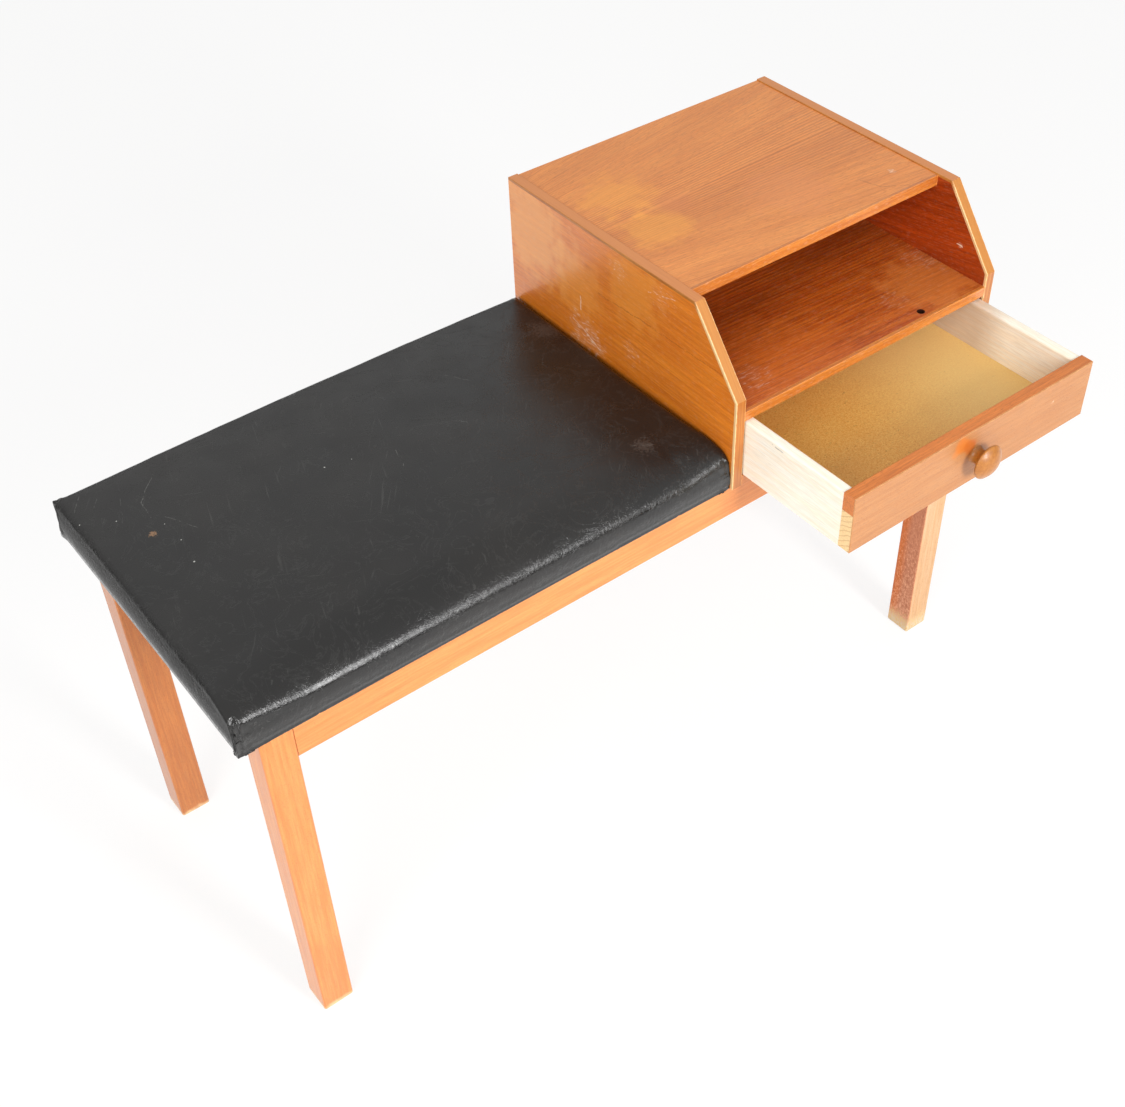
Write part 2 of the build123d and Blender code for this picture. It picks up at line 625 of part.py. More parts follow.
def top_panel():
    """The veneered top, let down a little between the side panels."""
    board = span(
        BAY_LEFT, BAY_RIGHT, TOP_PANEL_FRONT + BOARD_LIPPING, CABINET_BACK, TOP_PANEL_UNDERSIDE, TOP_PANEL_TOP
    )
    board -= span(
        BAY_LEFT, BAY_RIGHT, BACK_PANEL_FRONT, CABINET_BACK, TOP_PANEL_UNDERSIDE, TOP_PANEL_TOP - BACK_REBATE
    )
    return drilled(board, cabinet_dowel_holes() + pin_holes(back_pin_spots()))


def middle_shelf():
    """The telephone shelf, which is also the drawer's roof, with the small hole near its front."""
    board = span(
        BAY_LEFT, BAY_RIGHT, CABINET_FRONT + BOARD_LIPPING, BACK_PANEL_FRONT, SHELF_UNDERSIDE, SHELF_TOP
    )
    hole_at = (BAY_RIGHT - CORD_HOLE_FROM_PANEL, CABINET_FRONT + CORD_HOLE_FROM_FRONT, SHELF_UNDERSIDE)
    board -= rod(hole_at, (0, 0, 1), CORD_HOLE_DIAMETER, SHELF_THICKNESS)
    return drilled(board, cabinet_dowel_holes())


def bottom_board():
    """The cabinet's floor, on which the drawer runs."""
    board = span(
        BAY_LEFT, BAY_RIGHT, CABINET_FRONT + BOARD_LIPPING, CABINET_BACK, FRAME_HEIGHT, BOTTOM_BOARD_TOP
    )
    board -= span(
        BAY_LEFT, BAY_RIGHT, BACK_PANEL_FRONT, CABINET_BACK, FRAME_HEIGHT + BACK_REBATE, BOTTOM_BOARD_TOP
    )
    return drilled(board, cabinet_dowel_holes() + block_screw_holes() + pin_holes(back_pin_spots()))


def back_panel():
    """The thin back, held in the rebates of the boards round it."""
    c = BACK_CLEARANCE
    panel = span(
        BAY_LEFT - BACK_REBATE + c, BAY_RIGHT + BACK_REBATE - c, BACK_PANEL_FRONT, CABINET_BACK,
        FRAME_HEIGHT + BACK_REBATE + c, TOP_PANEL_TOP - BACK_REBATE - c,
    )
    return drilled(panel, pin_holes(back_pin_spots()))


def back_pin_spots():
    """Tip, direction and length of each pin through the back panel's rim, its head let in flush."""
    tip_y = CABINET_BACK - PIN_HEAD_HEIGHT - PIN_LENGTH
    half = BACK_REBATE / 2
    low = FRAME_HEIGHT + BACK_REBATE
    high = TOP_PANEL_TOP - BACK_REBATE
    spots = []
    for i in range(PIN_COUNT_PER_SIDE):
        share = (i + 0.5) / PIN_COUNT_PER_SIDE
        x = BAY_LEFT + (BAY_RIGHT - BAY_LEFT) * share
        z = low + (high - low) * share
        for place in ((x, low + half), (x, high - half), (BAY_LEFT - half, z), (BAY_RIGHT + half, z)):
            spots.append(((place[0], tip_y, place[1]), (0, 1, 0), PIN_LENGTH))
    return spots


# ---------------------------------------------------------------- drawer
def knob_screw_place():
    """Tip, direction and length of the screw through the drawer front into the knob."""
    tip = (KNOB_X, DRAWER_FRONT - KNOB_SCREW_BITE, KNOB_Z)
    return tip, (0, 1, 0), KNOB_SCREW_BITE + DRAWER_FRONT_THICKNESS


def drawer_dowel_spots():
    """Dowels from the drawer front into the sides' ends."""
    low = DRAWER_BOTTOM_TOP + DRAWER_DOWEL_DIAMETER
    high = DRAWER_SIDE_TOP - DRAWER_JOINT_INSET
    start = DRAWER_FRONT_BACK - DRAWER_DOWEL_IN_FRONT
    half = DRAWER_SIDE_THICKNESS / 2
    return [
        ((x, start, z), (0, 1, 0))
        for x in (DRAWER_LEFT + half, DRAWER_RIGHT - half) for z in (low, high)
    ]


def drawer_dowels():
    """The dowels between the drawer front and the sides."""
    spots = drawer_dowel_spots()
    return group([rod(at, way, DRAWER_DOWEL_DIAMETER, DRAWER_DOWEL_LENGTH) for at, way in spots])


def drawer_dowel_holes():
    """The holes of the drawer's dowels."""
    diameter = DRAWER_DOWEL_DIAMETER + 2 * GLUE_GAP
    return [rod(at, way, diameter, DRAWER_DOWEL_LENGTH) for at, way in drawer_dowel_spots()]


def drawer_bottom_groove():
    """The space of the drawer's bottom with its clearance, which its grooves leave free."""
    c = DRAWER_GROOVE_CLEARANCE
    d = DRAWER_SIDE_THICKNESS - DRAWER_GROOVE_DEPTH
    return span(
        DRAWER_LEFT + d - c, DRAWER_RIGHT - d + c, DRAWER_FRONT_BACK - DRAWER_GROOVE_DEPTH - c,
        DRAWER_BACK, DRAWER_BOTTOM_LOW - c, DRAWER_BOTTOM_TOP + c,
    )


def drawer_front():
    """The pale core board of the drawer front, below its lipping and behind its facing."""
    core = span(
        DRAWER_LEFT, DRAWER_RIGHT, DRAWER_FRONT + DRAWER_FACING, DRAWER_FRONT_BACK,
        DRAWER_UNDERSIDE, DRAWER_TOP - DRAWER_LIPPING_HEIGHT,
    )
    cutters = drawer_dowel_holes() + [drawer_bottom_groove(), screw_hole(*knob_screw_place())]
    return drilled(core, cutters)


def drawer_front_lipping():
    """The solid teak strip along the top of the drawer front."""
    strip = span(
        DRAWER_LEFT, DRAWER_RIGHT, DRAWER_FRONT + DRAWER_FACING, DRAWER_FRONT_BACK,
        DRAWER_TOP - DRAWER_LIPPING_HEIGHT, DRAWER_TOP,
    )
    back_edge = strip.edges().filter_by(Axis.X).group_by(Axis.Y)[-1].sort_by(Axis.Z)[-1]
    strip = fillet(back_edge, ARRIS_RADIUS)
    return drilled(strip, drawer_dowel_holes() + [screw_hole(*knob_screw_place())])


def drawer_front_facing():
    """The teak facing over the whole drawer front."""
    sheet = span(
        DRAWER_LEFT, DRAWER_RIGHT, DRAWER_FRONT, DRAWER_FRONT + DRAWER_FACING, DRAWER_UNDERSIDE, DRAWER_TOP
    )
    rim = sheet.faces().sort_by(Axis.Y)[0].edges()
    sheet = fillet(rim, min(ARRIS_RADIUS, DRAWER_FACING * 0.7))
    return sheet - screw_hole(*knob_screw_place())


def drawer_side(x0):
    """A birch drawer side with a rounded top edge and a groove for the bottom."""
    side = span(
        x0, x0 + DRAWER_SIDE_THICKNESS, DRAWER_FRONT_BACK, DRAWER_BACK, DRAWER_UNDERSIDE, DRAWER_SIDE_TOP
    )
    top_edges = side.edges().filter_by(Axis.Y).group_by(Axis.Z)[-1]
    side = fillet(top_edges, min(DRAWER_SIDE_EDGE_RADIUS, DRAWER_SIDE_THICKNESS / 3))
    return drilled(side, drawer_dowel_holes() + [drawer_bottom_groove()] + pin_holes(back_nail_spots()))


def drawer_back():
    """The drawer's low back, between the sides and over the bottom."""
    board = span(
        DRAWER_LEFT + DRAWER_SIDE_THICKNESS, DRAWER_RIGHT - DRAWER_SIDE_THICKNESS,
        DRAWER_BACK - DRAWER_BACK_THICKNESS, DRAWER_BACK,
        DRAWER_BOTTOM_TOP + DRAWER_GROOVE_CLEARANCE, DRAWER_SIDE_TOP - DRAWER_BACK_DROP,
    )
    return drilled(board, pin_holes(back_nail_spots()) + pin_holes(bottom_nail_spots()))


def drawer_bottom():
    """The hardboard bottom, slid in from behind under the back."""
    d = DRAWER_SIDE_THICKNESS - DRAWER_GROOVE_DEPTH
    sheet = span(
        DRAWER_LEFT + d, DRAWER_RIGHT - d, DRAWER_FRONT_BACK - DRAWER_GROOVE_DEPTH, DRAWER_BACK,
        DRAWER_BOTTOM_LOW, DRAWER_BOTTOM_TOP,
    )
    return drilled(sheet, pin_holes(bottom_nail_spots()))


def back_nail_spots():
    """Nails through the sides into the ends of the drawer's back, heads let in flush."""
    y = DRAWER_BACK - DRAWER_BACK_THICKNESS / 2
    low = DRAWER_BOTTOM_TOP + DRAWER_JOINT_INSET / 2
    high = DRAWER_SIDE_TOP - DRAWER_BACK_DROP - DRAWER_JOINT_INSET / 2
    reach = NAIL_LENGTH + PIN_HEAD_HEIGHT
    spots = []
    for z in (low, high):
        spots.append(((DRAWER_LEFT + reach, y, z), (-1, 0, 0), NAIL_LENGTH))
        spots.append(((DRAWER_RIGHT - reach, y, z), (1, 0, 0), NAIL_LENGTH))
    return spots


def bottom_nail_spots():
    """Nails up through the hardboard into the drawer's back."""
    y = DRAWER_BACK - DRAWER_BACK_THICKNESS / 2
    tip_z = DRAWER_BOTTOM_LOW + PIN_HEAD_HEIGHT + PIN_LENGTH
    inner = (DRAWER_RIGHT - DRAWER_LEFT) / 2 - DRAWER_SIDE_THICKNESS - 2 * DRAWER_JOINT_INSET
    return [((KNOB_X + t * inner, y, tip_z), (0, 0, -1), PIN_LENGTH) for t in (-1, 0, 1)]


def drawer_knob():
    """The turned mushroom knob, drawn as radius against distance from the drawer front."""
    base = KNOB_BASE_DIAMETER / 2
    neck = KNOB_NECK_DIAMETER / 2
    rim = KNOB_DIAMETER / 2
    under = KNOB_RIM_HEIGHT - KNOB_RIM_THICKNESS
    dome_rim = (rim - KNOB_RIM_SOFTENING, KNOB_RIM_HEIGHT + KNOB_RIM_SOFTENING / 2)
    dome_rise = KNOB_LENGTH - dome_rim[1]
    dome_radius = (dome_rim[0] ** 2 + dome_rise ** 2) / (2 * dome_rise)
    half_out = rim / 2
    half_up = KNOB_LENGTH - dome_radius + math.sqrt(dome_radius ** 2 - half_out ** 2)
    under_rim = (rim - KNOB_UNDERCUT, under)
    hollow = (neck + KNOB_HOLLOW, under - KNOB_RIM_THICKNESS)
    profile = [
        Line((0, 0), (base, 0)),
        ThreePointArc((base, 0), (neck + KNOB_HOLLOW / 8, KNOB_NECK_HEIGHT / 2), (neck, KNOB_NECK_HEIGHT)),
        ThreePointArc((neck, KNOB_NECK_HEIGHT), hollow, under_rim),
        ThreePointArc(under_rim, (rim, (under + dome_rim[1]) / 2), dome_rim),
        ThreePointArc(dome_rim, (half_out, half_up), (0, KNOB_LENGTH)),
        Line((0, KNOB_LENGTH), (0, 0)),
    ]
    turned = revolve(make_face(Wire(profile)), Axis.Y)
    knob = Pos(KNOB_X, DRAWER_FRONT, KNOB_Z) * (Rot(180, 0, 0) * turned)
    return knob - screw_hole(*knob_screw_place())


# ---------------------------------------------------------------- parts list
def build_parts():
    """Every piece of the bench under its own name."""
    parts = {}
    for x_name, x_side in (("left", -1), ("right", 1)):
        for y_name, y_side in (("front", -1), ("back", 1)):
            parts[f"leg_{y_name}_{x_name}"] = leg(x_side, y_side)
        parts[f"end_rail_{x_name}"] = end_rail(x_side)
    parts["front_rail"] = long_rail(-1)
    parts["back_rail"] = long_rail(1)
    parts["cross_rail"] = cross_rail()
    parts["rail_dowels"] = rail_dowels()
    parts["corner_blocks"] = glue_blocks("leg")
    parts["middle_blocks"] = glue_blocks("middle")

    parts["seat_screws"] = block_screws("seat")
    parts["seat_board"] = seat_board()
    parts["seat_foam"] = seat_foam()
    parts["seat_cover"] = seat_cover()
    parts["cover_staples"] = cover_staples()

    parts["cabinet_screws"] = block_screws("cabinet")
    parts["side_panel_left"] = side_panel(CABINET_LEFT, BAY_LEFT - BACK_REBATE)
    parts["side_panel_right"] = side_panel(BAY_RIGHT, BAY_RIGHT)
    parts["side_band_left"] = side_band(CABINET_LEFT)
    parts["side_band_right"] = side_band(BAY_RIGHT)
    parts["top_panel"] = top_panel()
    parts["top_panel_lipping"] = lipping(TOP_PANEL_FRONT, TOP_PANEL_UNDERSIDE, TOP_PANEL_TOP)
    parts["middle_shelf"] = middle_shelf()
    parts["middle_shelf_lipping"] = lipping(CABINET_FRONT, SHELF_UNDERSIDE, SHELF_TOP)
    parts["bottom_board"] = bottom_board()
    parts["bottom_board_lipping"] = lipping(CABINET_FRONT, FRAME_HEIGHT, BOTTOM_BOARD_TOP)
    parts["cabinet_dowels"] = cabinet_dowels()
    parts["back_panel"] = back_panel()
    parts["back_panel_pins"] = pins(back_pin_spots())

    parts["drawer_front"] = drawer_front()
    parts["drawer_front_lipping"] = drawer_front_lipping()
    parts["drawer_front_facing"] = drawer_front_facing()
    parts["drawer_side_left"] = drawer_side(DRAWER_LEFT)
    parts["drawer_side_right"] = drawer_side(DRAWER_RIGHT - DRAWER_SIDE_THICKNESS)
    parts["drawer_back"] = drawer_back()
    parts["drawer_bottom"] = drawer_bottom()
    parts["drawer_dowels"] = drawer_dowels()
    parts["drawer_back_nails"] = pins(back_nail_spots())
    parts["drawer_bottom_nails"] = pins(bottom_nail_spots())
    parts["drawer_knob"] = drawer_knob()
    parts["knob_screw"] = screw(*knob_screw_place())
    return parts


def main():
    os.makedirs("parts", exist_ok=True)
    for name, shape in build_parts().items():
        export_step(Pos(-ORIGIN_X, -ORIGIN_Y, 0) * shape, f"parts/{name}.step")


main()
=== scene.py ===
import math
import bmesh
import bpy
from mathutils import Euler, Matrix, Vector, noise
from mathutils.bvhtree import BVHTree


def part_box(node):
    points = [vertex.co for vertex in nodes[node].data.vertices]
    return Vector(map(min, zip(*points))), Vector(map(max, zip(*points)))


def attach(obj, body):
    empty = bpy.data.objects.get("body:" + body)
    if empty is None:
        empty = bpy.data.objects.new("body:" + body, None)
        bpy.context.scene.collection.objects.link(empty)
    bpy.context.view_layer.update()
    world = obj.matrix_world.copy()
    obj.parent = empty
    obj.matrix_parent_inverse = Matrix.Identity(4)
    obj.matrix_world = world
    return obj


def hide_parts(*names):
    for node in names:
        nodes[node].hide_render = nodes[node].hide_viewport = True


# Telephone bench. Metres, +Z up, the front faces -Y and the cabinet stands at the +X end.

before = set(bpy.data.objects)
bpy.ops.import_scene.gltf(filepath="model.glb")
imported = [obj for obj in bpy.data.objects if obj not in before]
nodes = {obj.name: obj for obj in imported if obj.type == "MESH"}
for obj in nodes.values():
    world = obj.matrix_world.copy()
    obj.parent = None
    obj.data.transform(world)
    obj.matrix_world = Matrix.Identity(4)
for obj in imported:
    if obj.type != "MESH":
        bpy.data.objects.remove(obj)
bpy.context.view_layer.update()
scene = bpy.context.scene


# ---------------- shader helpers
def tone(code):
    """Six hex digits of a seen colour, as the linear colour that a shader takes."""
    parts = [int(code[i:i + 2], 16) / 255 for i in (0, 2, 4)]
    return tuple(v / 12.92 if v <= 0.04045 else ((v + 0.055) / 1.055) ** 2.4 for v in parts) + (1.0,)


def feed(tree, socket, value):
    """Links an output to a socket, or writes a plain value on it. Six hex digits are a colour."""
    if isinstance(value, bpy.types.NodeSocket):
        tree.links.new(value, socket)
    else:
        socket.default_value = tone(value) if isinstance(value, str) else value


def add(tree, kind, inputs=None, **settings):
    """A shader node with its settings, its inputs fed by name or number."""
    node = tree.nodes.new("ShaderNode" + kind)
    for name, value in settings.items():
        setattr(node, name, value)
    for name, value in (inputs or {}).items():
        feed(tree, node.inputs[name], value)
    return node


def math_node(operation):
    """A function that puts one kind of Math node in a tree."""
    def put(tree, a, b=0.0, clamp=False):
        return add(tree, "Math", {0: a, 1: b}, operation=operation, use_clamp=clamp).outputs[0]
    return put


plus, minus, times, ratio = (math_node(kind) for kind in ("ADD", "SUBTRACT", "MULTIPLY", "DIVIDE"))
smaller, larger, absolute = (math_node(kind) for kind in ("MINIMUM", "MAXIMUM", "ABSOLUTE"))
power_of, fraction = (math_node(kind) for kind in ("POWER", "FRACT"))


def shift(tree, vector, operation, by):
    return add(tree, "VectorMath", {0: vector, 1: by}, operation=operation).outputs[0]


def span(tree, a, b, operation="DISTANCE"):
    """The distance between two points, or another single measure of them."""
    return add(tree, "VectorMath", {0: a, 1: b}, operation=operation).outputs["Value"]


def axes(tree, vector):
    """The X, Y and Z of a vector."""
    return add(tree, "SeparateXYZ", {0: vector}).outputs


def joined(tree, x=0.0, y=0.0, z=0.0):
    return add(tree, "CombineXYZ", {0: x, 1: y, 2: z}).outputs[0]


def ease(tree, value, low, high, start=0.0, end=1.0):
    """Turns a value smoothly from start at low to end at high."""
    inputs = {"Value": value, "From Min": low, "From Max": high, "To Min": start, "To Max": end}
    return add(tree, "MapRange", inputs, interpolation_type="SMOOTHSTEP").outputs[0]


def tint(tree, amount, under, over, how="MIX"):
    """The colour under, with the colour over laid on it by an amount."""
    return add(tree, "Mix", {0: amount, 6: under, 7: over}, data_type="RGBA", blend_type=how).outputs[2]


def marked(tree, body, mask, strength, code):
    """The colour body with marks of another colour laid on it where the mask is."""
    return tint(tree, times(tree, mask, strength), body, code)


def grains(tree, vector, scale, detail=2.0, rough=0.5, distortion=0.0):
    """Noise, from 0 to 1."""
    inputs = {"Vector": vector, "Scale": scale, "Detail": detail, "Roughness": rough,
              "Distortion": distortion}
    return add(tree, "TexNoise", inputs).outputs["Fac"]


def place(tree, vector, move=(0, 0, 0), turn=(0, 0, 0), size=(1, 1, 1)):
    """A Mapping node. Its turn is in radians."""
    inputs = {"Vector": vector, "Location": move, "Rotation": turn, "Scale": size}
    return add(tree, "Mapping", inputs).outputs[0]


def bend(tree, vector, scale):
    """A place moved by up to 4 mm along each axis, so that what is drawn on it wavers."""
    warp = add(tree, "TexNoise", {"Vector": vector, "Scale": scale, "Detail": 2.0}).outputs["Color"]
    reach = (0.004, 0.004, 0.004)
    return add(tree, "VectorMath", {0: warp, 1: reach, 2: vector}, operation="MULTIPLY_ADD").outputs[0]


def facing(tree):
    """The X, Y and Z of the way that a surface faces."""
    return axes(tree, add(tree, "TexCoord").outputs["Normal"])


def bump(tree, height, strength, distance, under=None):
    """Relief from a height, laid over the relief under it."""
    inputs = {"Height": height, "Strength": strength, "Distance": distance}
    if under is not None:
        inputs["Normal"] = under
    return add(tree, "Bump", inputs).outputs[0]


def new_group(name, inputs, outputs):
    """An empty node group: its tree, its input node's outputs and its output node's inputs.

    inputs are names with their values, where None makes it a vector and six hex digits a colour.
    outputs are names with their kinds.
    """
    tree = bpy.data.node_groups.new(name, "ShaderNodeTree")
    for socket, value in inputs.items():
        kind = "Vector" if value is None else "Color" if isinstance(value, str) else "Float"
        made = tree.interface.new_socket(socket, in_out="INPUT", socket_type="NodeSocket" + kind)
        if value is not None:
            feed(tree, made, value)
    for socket, kind in outputs.items():
        tree.interface.new_socket(socket, in_out="OUTPUT", socket_type="NodeSocket" + kind)
    entry = tree.nodes.new("NodeGroupInput")
    leave = tree.nodes.new("NodeGroupOutput")
    return tree, entry.outputs, leave.inputs


def use(tree, group, **inputs):
    """A group placed in a material. An underscore in a name stands for a space."""
    node = tree.nodes.new("ShaderNodeGroup")
    node.node_tree = group
    for name, value in inputs.items():
        feed(tree, node.inputs[name.replace("_", " ")], value)
    return node.outputs


# ---------------- effects that several finishes share
def make_timber():
    """Timber whose grain runs along the local X axis: growth rings about that axis, streaks, fibres
    and short pores, laid over each other in three tones."""
    tree, given, made = new_group(
        "timber",
        {"Vector": None, "Light": "e0a070", "Middle": "d09060", "Dark": "a06030", "Ring Spacing": 0.006,
         "Waviness": 0.012, "Ring Sharpness": 3.0, "Ring Strength": 0.4, "Ring Reach": 0.5,
         "Streak Strength": 0.4, "Pore Strength": 0.4, "Pore Length": 0.006, "Gloss": 0.4},
        {"Color": "Color", "Roughness": "Float", "Normal": "Vector", "Dashes": "Float"},
    )
    at = given["Vector"]
    drift = grains(tree, place(tree, at, size=(0.16, 1, 1)), 14.0, 2.0)
    wander = times(tree, minus(tree, drift, 0.5), given["Waviness"])
    split = axes(tree, at)
    across = joined(tree, 0.0, split[1], split[2])
    radius = plus(tree, span(tree, across, (0, 0, 0), "LENGTH"), wander)
    uneven = grains(tree, place(tree, at, size=(0.05, 1, 1)), 60.0, 1.0)
    turns = plus(tree, ratio(tree, radius, given["Ring Spacing"]), times(tree, uneven, 0.9))
    ring = fraction(tree, turns)
    late = power_of(tree, ring, given["Ring Sharpness"])
    late = times(tree, late, ease(tree, ring, 0.93, 1.0, 1.0, 0.0))
    reach = ease(tree, ratio(tree, radius, given["Ring Reach"]), 0.5, 1.3, 1.0, 0.25)
    lines = times(tree, times(tree, late, reach), given["Ring Strength"])
    streaks = grains(tree, place(tree, at, size=(0.045, 1, 1)), 300.0, 4.0, 0.6)
    fibres = grains(tree, place(tree, at, size=(0.05, 1, 1)), 1300.0, 2.0, 0.6)
    length = ratio(tree, split[0], given["Pore Length"])
    short = joined(tree, length, times(tree, split[1], 1300.0), times(tree, split[2], 1300.0))
    pores = ease(tree, grains(tree, short, 1.0, 1.0), 0.57, 0.68)
    apart = place(tree, short, move=(7, 3, 5), size=(0.8, 0.55, 0.55))
    dashes = ease(tree, grains(tree, apart, 1.0, 2.0), 0.54, 0.66)
    body = tint(tree, ease(tree, streaks, 0.36, 0.64), given["Light"], given["Middle"])
    streak = times(tree, ease(tree, drift, 0.35, 0.68), given["Streak Strength"])
    body = tint(tree, streak, body, given["Dark"])
    fine = grains(tree, place(tree, at, move=(0.3, 0.1, 0.2), size=(0.02, 1, 1)), 520.0, 2.0, 0.5)
    thin = times(tree, ease(tree, fine, 0.54, 0.66), times(tree, given["Streak Strength"], 0.7))
    body = tint(tree, thin, body, given["Dark"])
    body = tint(tree, lines, body, given["Dark"])
    shade = ease(tree, fibres, 0.3, 0.7, 0.91, 1.07)
    shade = add(tree, "CombineColor", {0: shade, 1: shade, 2: shade}).outputs[0]
    body = tint(tree, 1.0, body, shade, "MULTIPLY")
    body = tint(tree, times(tree, pores, given["Pore Strength"]), body, given["Dark"])
    feed(tree, made["Color"], body)
    feed(tree, made["Roughness"], plus(tree, given["Gloss"], ease(tree, fibres, 0.2, 0.8, -0.05, 0.08)))
    height = minus(tree, times(tree, fibres, 0.4), pores)
    feed(tree, made["Normal"], bump(tree, height, 0.25, 0.00012))
    feed(tree, made["Dashes"], dashes)
    return tree


def make_rubbed_edges():
    """Ragged wear along the edges of a piece's box."""
    tree, given, made = new_group(
        "rubbed edges", {"Vector": None, "Low": None, "High": None, "Width": 0.001}, {"Mask": "Float"})
    from_low = axes(tree, shift(tree, given["Vector"], "SUBTRACT", given["Low"]))
    from_high = axes(tree, shift(tree, given["High"], "SUBTRACT", given["Vector"]))
    near = [absolute(tree, smaller(tree, from_low[i], from_high[i])) for i in range(3)]
    least = smaller(tree, smaller(tree, near[0], near[1]), near[2])
    most = larger(tree, larger(tree, near[0], near[1]), near[2])
    total = plus(tree, plus(tree, near[0], near[1]), near[2])
    edge = minus(tree, minus(tree, total, least), most)
    torn = times(tree, grains(tree, given["Vector"], 160.0, 3.0), 1.6)
    share = plus(tree, ratio(tree, edge, given["Width"]), torn)
    feed(tree, made["Mask"], ease(tree, share, 0.9, 2.0, 1.0, 0.0))
    return tree


def make_patch():
    """A soft patch about a point, its outline broken up by noise."""
    tree, given, made = new_group(
        "patch", {"Vector": None, "Centre": None, "Radius": 0.02, "Ragged": 0.5, "Grain": 90.0},
        {"Mask": "Float"})
    away = span(tree, given["Vector"], given["Centre"])
    torn = minus(tree, grains(tree, given["Vector"], given["Grain"], 3.0), 0.5)
    torn = times(tree, torn, times(tree, given["Ragged"], 3.0))
    share = plus(tree, ratio(tree, away, given["Radius"]), torn)
    feed(tree, made["Mask"], ease(tree, share, 0.4, 1.0, 1.0, 0.0))
    return tree


def make_scratch():
    """A fine scratch from one point to another, uneven in width and depth."""
    tree, given, made = new_group(
        "scratch", {"Vector": None, "From": None, "To": None, "Width": 0.0008}, {"Mask": "Float"})
    moved = shift(tree, bend(tree, given["Vector"], 70.0), "SUBTRACT", (0.002, 0.002, 0.002))
    line = shift(tree, given["To"], "SUBTRACT", given["From"])
    out = shift(tree, moved, "SUBTRACT", given["From"])
    reach = span(tree, out, line, "DOT_PRODUCT")
    whole = span(tree, line, line, "DOT_PRODUCT")
    share = ratio(tree, reach, whole, clamp=True)
    foot = add(tree, "VectorMath", {0: line, "Scale": share}, operation="SCALE").outputs[0]
    away = span(tree, out, foot)
    uneven = ease(tree, grains(tree, given["Vector"], 380.0, 2.0), 0.35, 0.7, 0.4, 1.0)
    wide = times(tree, given["Width"], uneven)
    feed(tree, made["Mask"], ease(tree, ratio(tree, away, wide), 0.3, 1.0, 1.0, 0.0))
    return tree


def make_hairlines():
    """Sparse hairline scratches drawn out along the local X axis, faded in and out by patches."""
    tree, given, made = new_group(
        "hairlines", {"Vector": None, "Fineness": 300.0, "Sparseness": 0.68}, {"Mask": "Float"})
    lines = grains(tree, place(tree, given["Vector"], size=(0.05, 1, 1)), given["Fineness"], 2.0, 0.6, 0.5)
    where = grains(tree, given["Vector"], 17.0, 2.0)
    high = plus(tree, given["Sparseness"], 0.06)
    seen = times(tree, ease(tree, lines, given["Sparseness"], high), ease(tree, where, 0.5, 0.66))
    feed(tree, made["Mask"], seen)
    return tree


def make_hide_grain():
    """The embossed grain of leathercloth: small rounded cells with valleys, and long soft creases."""
    tree, given, made = new_group(
        "hide grain", {"Vector": None, "Cell": 700.0}, {"Height": "Float", "Creases": "Float"}
    )
    inputs = {"Vector": bend(tree, given["Vector"], 140.0), "Scale": given["Cell"]}
    cells = add(tree, "TexVoronoi", inputs, feature="DISTANCE_TO_EDGE").outputs["Distance"]
    feed(tree, made["Height"], ease(tree, cells, 0.0, 0.3))
    wide = grains(tree, given["Vector"], 26.0, 5.0, 0.62, 1.6)
    off = absolute(tree, minus(tree, wide, 0.5))
    feed(tree, made["Creases"], ease(tree, off, 0.0, 0.018, 1.0, 0.0))
    return tree


timber = make_timber()
rubbed_edges = make_rubbed_edges()
patch = make_patch()
scratch = make_scratch()
hairlines = make_hairlines()
hide_grain = make_hide_grain()


def spotted(tree, at, centre, radius, ragged, grain):
    """The mask of a patch."""
    return use(tree, patch, Vector=at, Centre=centre, Radius=radius, Ragged=ragged, Grain=grain)["Mask"]


def edge_wear(tree, at, box, width):
    """The mask of a piece's rubbed edges."""
    return use(tree, rubbed_edges, Vector=at, Low=tuple(box[0]), High=tuple(box[1]), Width=width)["Mask"]


def scratched(tree, at, start, end, width):
    """The mask of a scratch."""
    return use(tree, scratch, Vector=at, From=start, To=end, Width=width)["Mask"]


# The turn that lays an axis of the bench along a timber's grain.
ALONG = {"X": (0, 0, 0), "Y": (0, 0, -math.pi / 2), "Z": (0, math.pi / 2, 0)}
# Bare wood where the finish has gone.
PALE = "f6ddc4"


def title(finish, node):
    """A material's name, from its finish and the piece that it is for."""
    return finish + " " + node.replace("_", " ")


def new_material(name):
    """A material with a Principled surface, its tree, that shader and the place on the bench."""
    material = bpy.data.materials.new(name)
    material.use_nodes = True
    tree = material.node_tree
    tree.nodes.clear()
    surface = add(tree, "BsdfPrincipled")
    output = add(tree, "OutputMaterial")
    tree.links.new(surface.outputs[0], output.inputs[0])
    return material, tree, surface, add(tree, "TexCoord").outputs["Object"]


def paint(tree, surface, colour, roughness, normal=None):
    feed(tree, surface.inputs["Base Color"], colour)
    feed(tree, surface.inputs["Roughness"], roughness)
    if normal is not None:
        feed(tree, surface.inputs["Normal"], normal)


def set_shine(surface, specular=0.5, coat=0.0, coat_roughness=0.22):
    surface.inputs["Specular IOR Level"].default_value = specular
    surface.inputs["Coat Weight"].default_value = coat
    surface.inputs["Coat Roughness"].default_value = coat_roughness


def dress(node, material):
    """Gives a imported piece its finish."""
    mesh = nodes[node].data
    if not mesh.materials:
        mesh.materials.append(material)
    for i in range(len(mesh.materials)):
        mesh.materials[i] = material


